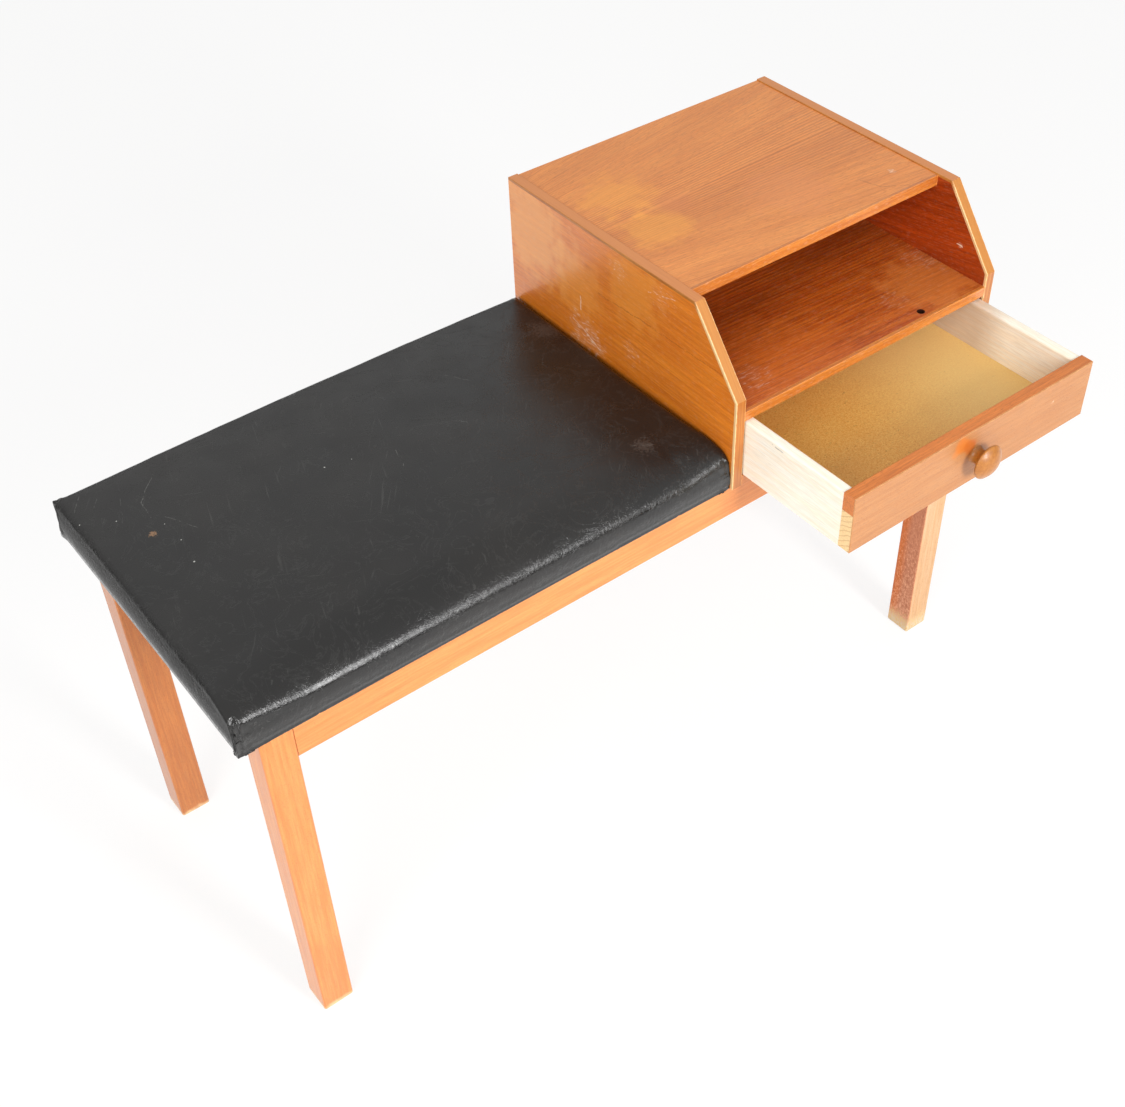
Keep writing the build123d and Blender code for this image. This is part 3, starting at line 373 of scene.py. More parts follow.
# ---------------- wood finishes
def wood(name, along, light, middle, dark, heart=(0, 0, 0), tilt=(0, 0, 0), fan=0.0, ring=0.006, wave=0.012,
         sharp=3.0, rings=0.4, reach=0.5, streaks=0.4, pores=0.35, pore_length=0.006, gloss=0.38, coat=0.2,
         flecks=0.0, patches=(), scuffs=(), scratches=(), worn=None, box=None, worn_width=0.0012, shaded_bore=None,
         shaded_span=None):
    """A timber or veneer whose grain runs along one axis of the bench.

    heart is a point on the line that the growth rings run round, and tilt leans that line. fan is how
    fast the lines spread along the grain. flecks is the strength of pale pores. patches are (centre,
    radius, strength, colour), scuffs are pale fields of dashes (centre, radius, strength), scratches
    are (start, end, width, strength, colour). worn is the colour of the rubbed edges of box, for
    worn_width in from them. shaded_bore is the plan centre and radius of a hole whose wall is painted
    dark, as painted shade inside the hole. shaded_span is the stretch of y over which a painted shade
    darkens the wood towards the back, where it runs under the shelf.
    """
    material, tree, surface, at = new_material(name)
    moved = shift(tree, at, "SUBTRACT", heart)
    along_grain = place(tree, place(tree, moved, turn=tilt), turn=ALONG[along])
    if fan:
        split = axes(tree, along_grain)
        spread = plus(tree, times(tree, split[0], fan), 1.0)
        along_grain = joined(tree, split[0], ratio(tree, split[1], spread), ratio(tree, split[2], spread))
    figure = use(
        tree, timber, Vector=along_grain, Light=light, Middle=middle, Dark=dark,
        Ring_Spacing=ring, Waviness=wave, Ring_Sharpness=sharp, Ring_Strength=rings, Ring_Reach=reach,
        Streak_Strength=streaks, Pore_Strength=pores, Pore_Length=pore_length, Gloss=gloss,
    )
    body = figure["Color"]
    for centre, radius, strength, colour in patches:
        spot = spotted(tree, at, centre, radius, 0.45, 55.0)
        body = marked(tree, body, spot, strength, colour)
    if flecks:
        body = marked(tree, body, figure["Dashes"], flecks, PALE)
    for centre, radius, strength in scuffs:
        spot = spotted(tree, at, centre, radius, 0.9, 120.0)
        seen = times(tree, times(tree, spot, strength), plus(tree, figure["Dashes"], 0.12), clamp=True)
        body = tint(tree, seen, body, PALE)
    for start, end, width, strength, colour in scratches:
        body = marked(tree, body, scratched(tree, at, start, end, width), strength, colour)
    if shaded_span is not None:
        # Painted shade: the wood darkens towards the back, where it runs under the shelf.
        body = tint(tree, ease(tree, axes(tree, at)[1], *shaded_span, 0.0, 0.5), body, "a87c50")
    if worn is not None:
        body = marked(tree, body, edge_wear(tree, at, box, worn_width), 0.8, worn)
    # Painted shade: the wall of the hole is painted dark.
    if shaded_bore is not None:
        split = axes(tree, at)
        away = span(tree, joined(tree, split[0], split[1]), shaded_bore[0])
        body = tint(tree, ease(tree, away, shaded_bore[1], shaded_bore[1] + 0.0004, 1.0, 0.0), body, "2c0c04")
    paint(tree, surface, body, figure["Roughness"], figure["Normal"])
    set_shine(surface, coat=coat)
    return material


def finish_cabinet():
    """Teak veneer and solid teak strips of the cabinet."""
    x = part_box("side_panel_left")[0].x
    dress("side_panel_left", wood(
        "teak left side", "Y", "f08c26", "e27a1c", "b85810", heart=(x, 0.05, 0.4), tilt=(-0.03, 0, 0),
        ring=0.012, wave=0.02, rings=0.26, streaks=0.32, flecks=0.07, gloss=0.36, coat=0.25, pores=0.22,
        # The three lighter patches high on the side are a painted sheen from the light on the left.
        patches=[((x, 0.225, 0.56), 0.075, 0.55, "f8ac5c"), ((x, 0.15, 0.535), 0.05, 0.4, "f6a248"),
                 ((x, 0.06, 0.57), 0.055, 0.4, "f6a040")],
        scuffs=[((x, 0.14, 0.476), 0.028, 0.5), ((x, 0.118, 0.471), 0.016, 0.5),
                ((x, 0.062, 0.492), 0.014, 0.3), ((x, 0.081, 0.58), 0.014, 0.3),
                ((x, 0.016, 0.585), 0.022, 0.2)],
        scratches=[((x, 0.145, 0.519), (x, 0.144, 0.503), 0.0012, 0.8, "f3dcc6"),
                   ((x, 0.164, 0.487), (x, 0.14, 0.48), 0.0012, 0.6, "f3dcc6"),
                   ((x, 0.14, 0.48), (x, 0.113, 0.468), 0.0016, 0.7, "f3dcc6"),
                   ((x, 0.036, 0.58), (x, -0.003, 0.59), 0.0009, 0.6, "f3dcc6"),
                   ((x, 0.089, 0.579), (x, 0.073, 0.583), 0.001, 0.5, "f3dcc6"),
                   ((x, 0.115, 0.5375), (x, 0.05, 0.541), 0.0016, 0.45, "a04a14"),
                   ((x, 0.05, 0.541), (x, -0.086, 0.5435), 0.0016, 0.45, "a04a14")],
    ))
    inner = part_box("side_panel_right")[0].x
    # Painted shade: the inner face of the right side is given darker, redder tones than the left side, for
    # the shade inside the cabinet.
    dress("side_panel_right", wood(
        "teak right side", "Y", "c54e10", "b04009", "6a1f03", heart=(inner, 0.1, 0.5), tilt=(0.16, 0, 0),
        ring=0.012, rings=0.35, streaks=0.45, flecks=0.06, scuffs=[((inner, -0.054, 0.538), 0.0035, 1.0)],
        scratches=[((inner, -0.05, 0.5385), (inner, -0.057, 0.5375), 0.0016, 1.0, PALE)],
    ))
    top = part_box("top_panel")[1].z
    dress("top_panel", wood(
        "teak top", "X", "ec984e", "e48e48", "a25324", heart=(0.1, 0.12, top - 0.003),
        tilt=(0, 0.004, -0.03), fan=1.6, ring=0.003, wave=0.004, sharp=1.8, rings=0.6, reach=0.042,
        streaks=0.24, pores=0.28, gloss=0.46, coat=0.08,
        patches=[((0.155, 0.165, top), 0.05, 0.3, "ffae42"), ((0.148, 0.092, top), 0.045, 0.35, "ffb044"),
                 ((0.19, 0.116, top), 0.026, 0.4, "cc7845"), ((0.3, 0.06, top), 0.06, 0.25, "de8a58")],
        scratches=[((0.367, 0.031, top), (0.374, 0.008, top), 0.0012, 0.55, "8f5028"),
                   ((0.374, 0.008, top), (0.402, -0.009, top), 0.0012, 0.55, "8f5028")],
        scuffs=[((0.406, 0.023, top), 0.005, 1.0)],
    ))
    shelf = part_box("middle_shelf")[1].z
    dress("middle_shelf", wood(
        "teak shelf", "X", "c8651a", "b24d0c", "581c02", heart=(0.5, 0.09, shelf - 0.01),
        tilt=(0, 0.01, 0.03), ring=0.0046, wave=0.007, sharp=1.8, rings=0.6, reach=0.14, streaks=0.5,
        flecks=0.05, gloss=0.42, coat=0.08,
        patches=[((0.19, -0.065, shelf), 0.1, 0.2, "e07a30"), ((0.4, -0.05, shelf), 0.07, 0.4, "e08a40"),
                 ((0.14, 0.06, shelf), 0.07, 0.35, "7a2e0c")],
        scuffs=[((0.146, -0.055, shelf), 0.022, 0.18), ((0.43, -0.015, shelf), 0.03, 0.16),
                ((0.345, -0.05, shelf), 0.02, 0.1)],
        # The wall of this hole is painted dark, as painted shade.
        shaded_bore=((0.352, -0.083, 0), 0.0041),
    ))
    for name in ("bottom_board", "back_panel"):
        dress(name, wood(
            title("teak", name), "X", "c06a2c", "a95820", "743410", heart=(0.2, 0.1, 0.1), ring=0.01,
        ))
    for name in ("top_panel_lipping", "middle_shelf_lipping", "bottom_board_lipping"):
        dress(name, wood(
            title("solid teak", name), "X", "d68434", "c77126", "994c17", heart=(0.2, 0.2, 0.3),
            ring=0.014, rings=0.3, streaks=0.3, flecks=0.1, worn="e79a4c", box=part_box(name),
            worn_width=0.0004,
        ))
    for name in ("side_band_left", "side_band_right"):
        dress(name, band_finish(name))


def band_finish(name):
    """Solid teak strips whose grain follows each strip, with painted light: lighter on the faces that look
    up, golden on the sloped faces, and a pale line along the front arrises that is partly a painted highlight
    and partly rubbed wear.
    """
    low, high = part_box(name)
    material, tree, surface, at = new_material(title("solid teak", name))
    lines = grains(tree, place(tree, at, size=(1, 0.02, 0.02)), 900.0, 3.0, 0.6)
    cloud = grains(tree, at, 40.0, 3.0)
    body = tint(tree, ease(tree, lines, 0.35, 0.65), "c27d36", "ab6223")
    body = tint(tree, ease(tree, cloud, 0.42, 0.66, 0.0, 0.3), body, "a9602c")
    way = facing(tree)
    # Painted light: the faces that look up are painted lighter.
    body = marked(tree, body, ease(tree, way[2], 0.93, 0.99), 0.75, "d88848")
    # Painted light: the sloped faces are painted more golden.
    sloped_faces_light = times(tree, ease(tree, way[2], 0.25, 0.5), ease(tree, way[2], 0.8, 0.9, 1.0, 0.0))
    body = marked(tree, body, sloped_faces_light, 0.7, "ba7b34")
    across, depth = axes(tree, at)[:2]
    away = absolute(tree, minus(tree, across, (low.x + high.x) / 2))
    half = (high.x - low.x) / 2
    # A pale line along the outer arrises at the front: partly a painted highlight, partly rubbed wear.
    ragged = plus(tree, away, times(tree, grains(tree, at, 220.0, 3.0), 0.0012))
    front = ease(tree, depth, low.y + 0.055, low.y + 0.066, 0.85, 0.0)
    body = marked(tree, body, ease(tree, ragged, half - 0.0005, half + 0.0003), front, "f6cf96")
    paint(tree, surface, body, 0.42, bump(tree, lines, 0.2, 0.0001))
    set_shine(surface, coat=0.12)
    return material


def beech(tree, at, along, tones, streaks, pores, gloss):
    """Short-flecked timber with hardly any rings: its place along the grain, and its outputs."""
    along_grain = place(tree, shift(tree, at, "SUBTRACT", (0.1, 0.13, 0.2)), turn=ALONG[along])
    return along_grain, use(
        tree, timber, Vector=along_grain, Light=tones[0], Middle=tones[1], Dark=tones[2], Ring_Spacing=0.02,
        Waviness=0.02, Ring_Strength=0.1, Streak_Strength=streaks, Pore_Strength=pores, Pore_Length=0.0022,
        Gloss=gloss,
    )


def stained(name, along, foot=True, deep=False):
    """Golden stained beech with short flecks: darker at its arrises, rubbed bare at its foot, and given
    darker tones on the back legs as painted shade under the seat."""
    material, tree, surface, at = new_material(title("stained beech", name))
    # On the back legs the darker tones are painted shade under the seat.
    tones = ("be7435", "b4672a", "8c4a1b") if deep else ("df904a", "d6803b", "ac5a24")
    figure = beech(tree, at, along, tones, 0.16, 0.3, 0.42)[1]
    body = marked(tree, figure["Color"], edge_wear(tree, at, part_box(name), 0.0015), 0.45, "cf7c40")
    if foot:
        torn = plus(tree, axes(tree, at)[2], times(tree, grains(tree, at, 70.0, 4.0), 0.014))
        body = tint(tree, ease(tree, torn, 0.008, 0.016, 0.85, 0.0), body, "e8c796")
    paint(tree, surface, body, figure["Roughness"], figure["Normal"])
    set_shine(surface, coat=0.15)
    return material


def weathered_leg(name):
    """The front right leg: its finish gone red and flaking on the left face, bleached on the front."""
    material, tree, surface, at = new_material(title("weathered beech", name))
    along_grain, bare = beech(tree, at, "Z", ("d9b088", "d2a274", "ad7d50"), 0.15, 0.35, 0.55)
    flaked = grains(tree, place(tree, along_grain, size=(0.45, 1, 1)), 420.0, 5.0, 0.75, 0.6)
    cloud = grains(tree, place(tree, along_grain, size=(0.25, 1, 1)), 60.0, 3.0)
    split = axes(tree, at)
    depth = minus(tree, split[1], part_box(name)[0].y)
    inner = ease(tree, plus(tree, depth, times(tree, cloud, 0.012)), 0.02, 0.034)
    red = tint(tree, inner, "bd7a58", "c66a2e")
    red = tint(tree, ease(tree, flaked, 0.38, 0.5, 0.45, 0.0), red, "8a4324")
    lower = ease(tree, split[2], 0.02, 0.2, -0.07, 0.02)
    chip = ease(tree, minus(tree, flaked, lower), 0.54, 0.68, 0.0, 0.6)
    red = tint(tree, chip, red, "e6b08c")
    body = tint(tree, ease(tree, facing(tree)[0], -0.8, -0.5, 1.0, 0.0), bare["Color"], red)
    torn = plus(tree, split[2], times(tree, minus(tree, flaked, 0.5), 0.09))
    raw = tint(tree, ease(tree, flaked, 0.42, 0.6), "d7b27c", "cfc6ac")
    body = tint(tree, ease(tree, torn, 0.012, 0.028, 0.95, 0.0), body, raw)
    paint(tree, surface, body, 0.6, bump(tree, flaked, 0.5, 0.0004))
    set_shine(surface, 0.35)
    return material


def finish_leg_frame():
    """Stained legs and rails, and the bare beech inside the frame and the joints."""
    for name in ("leg_front_left", "leg_back_left", "leg_back_right"):
        # The back legs get darker tones as painted shade under the seat.
        dress(name, stained(name, "Z", deep=name.startswith("leg_back")))
    dress("leg_front_right", weathered_leg("leg_front_right"))
    for name in ("front_rail", "back_rail", "end_rail_left", "end_rail_right"):
        dress(name, stained(name, "Y" if name.startswith("end") else "X", foot=False))
    for name in ("cross_rail", "corner_blocks", "middle_blocks", "rail_dowels", "cabinet_dowels",
                 "drawer_dowels"):
        grain = "Y" if name in ("cross_rail", "drawer_dowels") else "X"
        dress(name, wood(
            title("bare beech", name), grain, "e3c19a", "d6ae84", "b98a5e", ring=0.02, rings=0.15,
            streaks=0.2, pore_length=0.0025, coat=0.0, gloss=0.6,
        ))


def finish_drawer():
    """Teak-faced front, pale birch box and hardboard bottom."""
    low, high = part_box("drawer_front_facing")
    dress("drawer_front_facing", wood(
        "teak drawer front", "X", "b67c48", "b0733e", "935527", heart=(0.2, -0.1, 0.3), tilt=(0, 0, 0.03),
        ring=0.016, rings=0.12, streaks=0.1, pores=0.38, pore_length=0.0022, gloss=0.46, coat=0.08,
        worn="efb67c", box=(low, high), worn_width=0.0004,
        patches=[((0.246, low.y, 0.484), 0.013, 0.85, "c46a1c"),
                 ((0.258, low.y, 0.477), 0.012, 0.8, "b85c18"),
                 ((0.238, low.y, 0.478), 0.008, 0.5, "cc7426")],
        scuffs=[((0.379, low.y, 0.471), 0.003, 1.0)],
    ))
    dress("drawer_front_lipping", wood(
        "solid teak drawer top", "X", "dc8138", "ce7530", "964c1c", heart=(0.2, -0.2, 0.4), ring=0.012,
        rings=0.3, streaks=0.35, gloss=0.48, coat=0.06,
    ))
    dress("drawer_front", core_finish())
    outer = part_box("drawer_side_left")[0].x
    for name, grain in (("drawer_side_left", "Y"), ("drawer_side_right", "Y"), ("drawer_back", "X")):
        dress(name, wood(
            title("birch", name), grain, "fffaec", "fef2dc", "f0d9b6", heart=(0.1, 0.1, 0.1), ring=0.009,
            wave=0.03, rings=0.06, streaks=0.06, pores=0.05, coat=0.08, gloss=0.5,
            # The right side gets painted shade towards the back, under the shelf.
            shaded_span=(-0.15, -0.1) if name == "drawer_side_right" else None,
            scratches=[((outer, -0.128, 0.49), (outer, -0.147, 0.4895), 0.0009, 0.8, "8f8878")],
        ))
    dress("drawer_bottom", hardboard())
    dress("drawer_knob", wood(
        "turned teak knob", "Y", "af6f26", "a2621c", "7c4511", heart=(0.262, -0.2, 0.4), ring=0.005,
        rings=0.12, streaks=0.14, gloss=0.4, coat=0.15,
    ))


def core_finish():
    """End and side grain of the pale core board, with brown growth lines that curve."""
    material, tree, surface, at = new_material("softwood core")
    bent = times(tree, grains(tree, at, 45.0, 2.0), 0.006)
    split = axes(tree, at)
    depth = plus(tree, plus(tree, split[2], times(tree, split[1], 0.6)), bent)
    ring = fraction(tree, ratio(tree, depth, 0.0062))
    body = tint(tree, ease(tree, ring, 0.72, 0.98, 0.0, 0.55), "f5d49c", "b98450")
    body = tint(tree, ease(tree, grains(tree, at, 500.0, 2.0), 0.45, 0.7, 0.0, 0.3), body, "cf9a62")
    paint(tree, surface, body, 0.65)
    return material


def hardboard():
    """Smooth pressed fibre board: tan, with darker fibres, and paler towards the right, which is painted
    light.
    """
    material, tree, surface, at = new_material("hardboard")
    flecks = grains(tree, at, 620.0, 4.0, 0.75, 0.8)
    cloud = grains(tree, at, 34.0, 3.0)
    fibres = grains(tree, place(tree, at, turn=(0, 0, 0.6), size=(0.35, 1, 1)), 850.0, 2.0, 0.6, 1.5)
    body = tint(tree, ease(tree, flecks, 0.38, 0.62), "f6c66c", "e49c42")
    body = tint(tree, ease(tree, fibres, 0.6, 0.7, 0.0, 0.6), body, "9f6324")
    body = tint(tree, ease(tree, cloud, 0.38, 0.68, 0.0, 0.22), body, "e09c48")
    # Painted light: the board is paler towards the right.
    body = tint(tree, ease(tree, axes(tree, at)[0], 0.22, 0.4, 0.0, 0.65), body, "ffe296")
    paint(tree, surface, body, 0.5, bump(tree, flecks, 0.2, 0.0001))
    return material


def finish_small_pieces():
    """Steel fasteners, and the board inside the seat."""
    material, tree, surface, at = new_material("zinc-plated steel")
    wear = grains(tree, at, 900.0, 3.0)
    paint(tree, surface, tint(tree, ease(tree, wear, 0.4, 0.7), "b9b7b1", "8f8b82"), 0.35)
    surface.inputs["Metallic"].default_value = 1.0
    for name in ("seat_screws", "cabinet_screws", "knob_screw", "cover_staples", "back_panel_pins",
                 "drawer_back_nails", "drawer_bottom_nails"):
        dress(name, material)
    board, tree, surface, at = new_material("particle board")
    chips = add(tree, "TexVoronoi", {"Vector": place(tree, at, size=(1, 1, 3)), "Scale": 320.0})
    chip = add(tree, "SeparateColor", {0: chips.outputs["Color"]}).outputs[0]
    body = tint(tree, chip, "dcbb8a", "b98f5c")
    body = tint(tree, ease(tree, grains(tree, at, 600.0, 3.0), 0.55, 0.7, 0.0, 0.6), body, "8a6338")
    paint(tree, surface, body, 0.8)
    dress("seat_board", board)


# ---------------- seat cover
# The cushion rolls over from its top to the front in a quarter of an ellipse, which starts a little
# behind the front wall. How deep it is, how far it drops and where it starts:
ROLL_DEPTH, ROLL_DROP, ROLL_START = 0.07, 0.032, 0.0016
# The radius of the shoulders at both ends, and of the upright corners.
SHOULDER, CORNER = 0.0136, 0.006


def part_of(value):
    """A value kept between 0 and 1."""
    return min(1.0, max(0.0, value))


def leathercloth():
    """Black leathercloth: embossed grain, soft creases, fine scratches, a few pale specks, and a
    glossier skin where it is pulled over the front roll and down to the hem of its ends."""
    material, tree, surface, at = new_material("black leathercloth")
    grain = use(tree, hide_grain, Vector=at, Cell=620.0)
    body = tint(tree, ease(tree, grains(tree, at, 12.0, 3.0), 0.35, 0.7), "11100f", "171513")
    body = marked(tree, body, grain["Creases"], 0.09, "5a5a58")
    for turn, fineness in ((0.5, 260.0), (-0.9, 320.0), (1.9, 240.0)):
        turned = place(tree, at, turn=(0, 0, turn))
        lines = use(tree, hairlines, Vector=turned, Fineness=fineness, Sparseness=0.64)
        body = marked(tree, body, lines["Mask"], 0.07, "8a8a86")
    split = axes(tree, at)
    body = seat_marks(tree, body, joined(tree, split[0], split[1]))
    way = facing(tree)
    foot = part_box("seat_cover")[0].z
    rolled = ease(tree, way[1], -0.95, -0.25, 1.0, 0.0)
    streaked = grains(tree, place(tree, at, size=(1, 1, 0.2)), 330.0, 2.0)
    above_hem = plus(tree, split[2], times(tree, streaked, 0.022))
    hem = ease(tree, above_hem, foot + 0.011, foot + 0.018, 0.5, 0.0)
    hem = times(tree, hem, ease(tree, way[0], -0.9, -0.5, 1.0, 0.0))
    # The end wall is shaded as if it leant back towards its top, so that it looks rolled.
    lean = ease(tree, split[2], foot - 0.004, foot + 0.018, 0.0, 0.52)
    lean = times(tree, lean, ease(tree, way[0], -0.9, -0.3, 1.0, 0.0))
    rolling = shift(tree, add(tree, "NewGeometry").outputs["Normal"], "ADD", joined(tree, z=lean))
    rolling = add(tree, "VectorMath", {0: rolling}, operation="NORMALIZE").outputs[0]
    shallow = bump(tree, grain["Creases"], 0.25, 0.0004, rolling)
    pucker = grains(tree, place(tree, at, size=(1, 0.5, 0.5)), 430.0, 3.0, 0.6, 0.6)
    turned = ease(tree, way[2], 0.9, 0.995, 1.0, 0.08)
    pulled = bump(tree, times(tree, pucker, turned), 0.8, 0.0006, shallow)
    dull = ease(tree, grains(tree, at, 30.0, 3.0), 0.3, 0.7, 0.25, 0.35)
    roughness = minus(tree, dull, times(tree, rolled, 0.09))
    paint(tree, surface, body, roughness, bump(tree, grain["Height"], 0.22, 0.00012, pulled))
    set_shine(surface, 0.38, coat_roughness=0.18)
    feed(tree, surface.inputs["Coat Weight"], larger(tree, hem, times(tree, rolled, 0.18)))
    return material


def seat_marks(tree, body, above):
    """The pale specks, fine scratches and rubbed spots on the seat, seen from above."""
    for x, y, radius in ((-0.384, 0.092, 0.0012), (-0.38, 0.125, 0.0008), (-0.382, 0.154, 0.0007),
                         (-0.414, 0.188, 0.0008), (-0.4415, 0.208, 0.0008), (-0.229, 0.128, 0.001),
                         (-0.203, 0.122, 0.0007)):
        body = marked(tree, body, spotted(tree, above, (x, y, 0), radius, 0.2, 900.0), 0.85, "c4c4be")
    for x1, y1, x2, y2, strength in (
            (-0.359, 0.226, -0.385, 0.196, 0.22), (-0.385, 0.196, -0.388, 0.17, 0.18),
            (-0.378, 0.165, -0.36, 0.128, 0.14), (-0.438, 0.226, -0.424, 0.246, 0.16),
            (-0.425, 0.215, -0.407, 0.24, 0.12), (-0.412, 0.178, -0.398, 0.214, 0.1),
            (-0.161, 0.113, -0.17, 0.082, 0.16), (-0.09, 0.106, -0.079, 0.086, 0.16),
            (-0.06, 0.18, -0.044, 0.15, 0.12), (0.018, -0.026, 0.038, -0.038, 0.2)):
        line = scratched(tree, above, (x1, y1, 0), (x2, y2, 0), 0.0006)
        body = marked(tree, body, line, strength, "b4b4ae")
    for x, y, radius, ragged, strength, code in (
            (-0.396, 0.1495, 0.0042, 1.1, 0.6, "a47c58"), (0.028, -0.033, 0.011, 1.3, 0.12, "8a7d74"),
            (0.07, 0.181, 0.018, 1.3, 0.12, "8a7d74")):
        body = marked(tree, body, spotted(tree, above, (x, y, 0), radius, ragged, 420.0), strength, code)
    return body


def outer_skin(name, upright=False):
    """The faces of a piece that look away from its middle, as a tree to lay points on."""
    low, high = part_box(name)
    middle = (low + high) / 2
    skin = bmesh.new()
    skin.from_mesh(nodes[name].data)
    left_out = [f for f in skin.faces if f.normal.dot(f.calc_center_median() - middle) <= 0
                or upright and abs(f.normal.z) > 0.5]
    bmesh.ops.delete(skin, geom=left_out, context="FACES")
    tree = BVHTree.FromBMesh(skin)
    skin.free()
    return tree


def put(name, data):
    """A new object in the scene."""
    made = bpy.data.objects.new(name, data)
    scene.collection.objects.link(made)
    return made


def put_form(name, form):
    """A new piece in the scene with a form as its mesh."""
    mesh = bpy.data.meshes.new(name)
    form.to_mesh(mesh)
    form.free()
    return put(name, mesh)


def join_copies(name, sources):
    """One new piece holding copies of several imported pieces' meshes."""
    form = bmesh.new()
    for source in sources:
        form.from_mesh(nodes[source].data)
    bmesh.ops.remove_doubles(form, verts=form.verts, dist=1e-6)
    return put_form(name, form)


def apply_modifiers(piece):
    """Bakes a piece's modifiers into its mesh."""
    seen = bpy.context.evaluated_depsgraph_get()
    mesh = bpy.data.meshes.new_from_object(piece.evaluated_get(seen))
    piece.modifiers.clear()
    piece.data = mesh


def lay_on(piece, skin, walls, floor):
    """Moves the points onto the formed skin, and those round the base out to the foot of its walls."""
    for v in piece.data.vertices:
        if v.co.z > floor + 0.0008:
            v.co = skin.find_nearest(v.co)[0]
            continue
        v.co.z = floor
        foot = walls.find_nearest(v.co)
        if foot[3] < 0.004:
            v.co.x, v.co.y = foot[0].x, foot[0].y


def even_out(piece):
    """Smooths the front roll a little and the crown fully, whose forms come in steps."""
    crown = bmesh.new()
    crown.from_mesh(piece.data)
    low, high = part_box("seat_cover")
    for front_inset, height, rounds in ((-1.0, 0.014, 2), (0.004, 0.034, 7), (0.06, 0.034, 250)):
        top = [
            v for v in crown.verts if v.co.z > low.z + height and v.co.y > low.y + front_inset
            and min(v.co.x - low.x, high.x - v.co.x, high.y - v.co.y) > 0.017
        ]
        for number in range(rounds):
            bmesh.ops.smooth_vert(
                crown, verts=top, factor=0.5, use_axis_x=True, use_axis_y=True, use_axis_z=True)
    crown.to_mesh(piece.data)
    crown.free()


def swell(piece, held_below, cap):
    """Inflates the cushion with a short cloth simulation, held along its base and walls, by up to cap."""
    start = [v.co.copy() for v in piece.data.vertices]
    held = piece.vertex_groups.new(name="held")
    held.add([i for i, co in enumerate(start) if co.z < held_below], 1.0, "REPLACE")
    cloth = piece.modifiers.new("cloth", "CLOTH")
    settings = cloth.settings
    settings.vertex_group_mass = "held"
    settings.use_pressure = True
    settings.uniform_pressure_force = 4.0
    settings.effector_weights.gravity = 0.0
    settings.quality = 5
    for number in range(1, 21):
        scene.frame_set(number)
    seen = bpy.context.evaluated_depsgraph_get()
    blown = piece.evaluated_get(seen).to_mesh()
    ends = [v.co.copy() for v in blown.vertices]
    piece.modifiers.clear()
    for v, a, b in zip(piece.data.vertices, start, ends):
        moved = b - a
        if moved.length > cap:
            moved *= cap / moved.length
        v.co = a + moved
    scene.frame_set(1)


def seat_padding():
    """The whole cushion: formed, swollen, smoothed, tucked at its corners and cut open below."""
    low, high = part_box("seat_cover")
    board_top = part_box("seat_board")[1].z
    skin = outer_skin("seat_cover")
    walls = outer_skin("seat_cover", upright=True)
    cover = join_copies("seat_leathercloth", ("seat_cover", "seat_foam", "seat_board"))
    remesh = cover.modifiers.new("remesh", "REMESH")
    remesh.mode = "VOXEL"
    remesh.voxel_size = 0.0045
    apply_modifiers(cover)
    lay_on(cover, skin, walls, low.z)
    shoulder = board_top + 0.014
    even_out(cover)
    for v in cover.data.vertices:
        v.co.z -= 0.0012 * part_of((v.co.z - shoulder) / 0.012)
    swell(cover, shoulder, 0.0016)
    smooth = cover.modifiers.new("smooth", "SUBSURF")
    smooth.levels = smooth.render_levels = 1
    apply_modifiers(cover)
    cut = bmesh.new()
    cut.from_mesh(cover.data)
    refine_corners(cut, low, high)
    for v in cut.verts:
        sharpen_foot(v.co, walls, low)
        fill_out(v.co, low, high)
        plump(v.co, low, high)
        wave_cover(v.co, low, high)
    cut.normal_update()
    for v in cut.verts:
        tuck_corner(v, low, high)
        v.co.x = min(max(v.co.x, low.x - 0.0045), high.x)
        v.co.z = max(v.co.z, low.z)
    open_hem(cut, low)
    for face in cut.faces:
        face.smooth = True
    cut.to_mesh(cover.data)
    cut.free()
    thickness = cover.modifiers.new("cloth thickness", "SOLIDIFY")
    thickness.thickness = 0.001
    thickness.offset = -1.0
    cover.data.materials.append(leathercloth())
    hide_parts("seat_cover", "seat_foam")
    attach(cover, "bench")


def corners(low, high):
    """The plan points of the cushion's four corners, with the way each one points."""
    for x, sx in ((low.x, -1), (high.x, 1)):
        for y, sy in ((low.y, -1), (high.y, 1)):
            yield x, y, sx, sy


def refine_corners(cut, low, high):
    """Finer faces where the cloth is tucked."""
    for number in range(2):
        near = []
        for edge in cut.edges:
            co = edge.verts[0].co
            if any(abs(co.x - x) < 0.014 and abs(co.y - y) < 0.014 for x, y, sx, sy in corners(low, high)):
                near.append(edge)
        bmesh.ops.subdivide_edges(cut, edges=near, cuts=1, use_grid_fill=True)


def sharpen_foot(co, walls, low):
    """Draws the lowest points back out to the foot of the walls, from where smoothing pulled them."""
    if co.z < low.z + 0.0045:
        foot = walls.find_nearest(Vector((co.x, co.y, low.z)))
        if foot[3] < 0.0018:
            co.x, co.y = foot[0].x, foot[0].y
            co.z = low.z + max(0.0, co.z - low.z - 0.0006) * 1.15
    out = 0.0017 * max(0.0, 1 - (co.z - low.z) / 0.01)
    co.x -= out * max(0.0, 1 - (co.x - low.x) / 0.004)
    co.y -= out * max(0.0, 1 - (co.y - low.y) / 0.004)


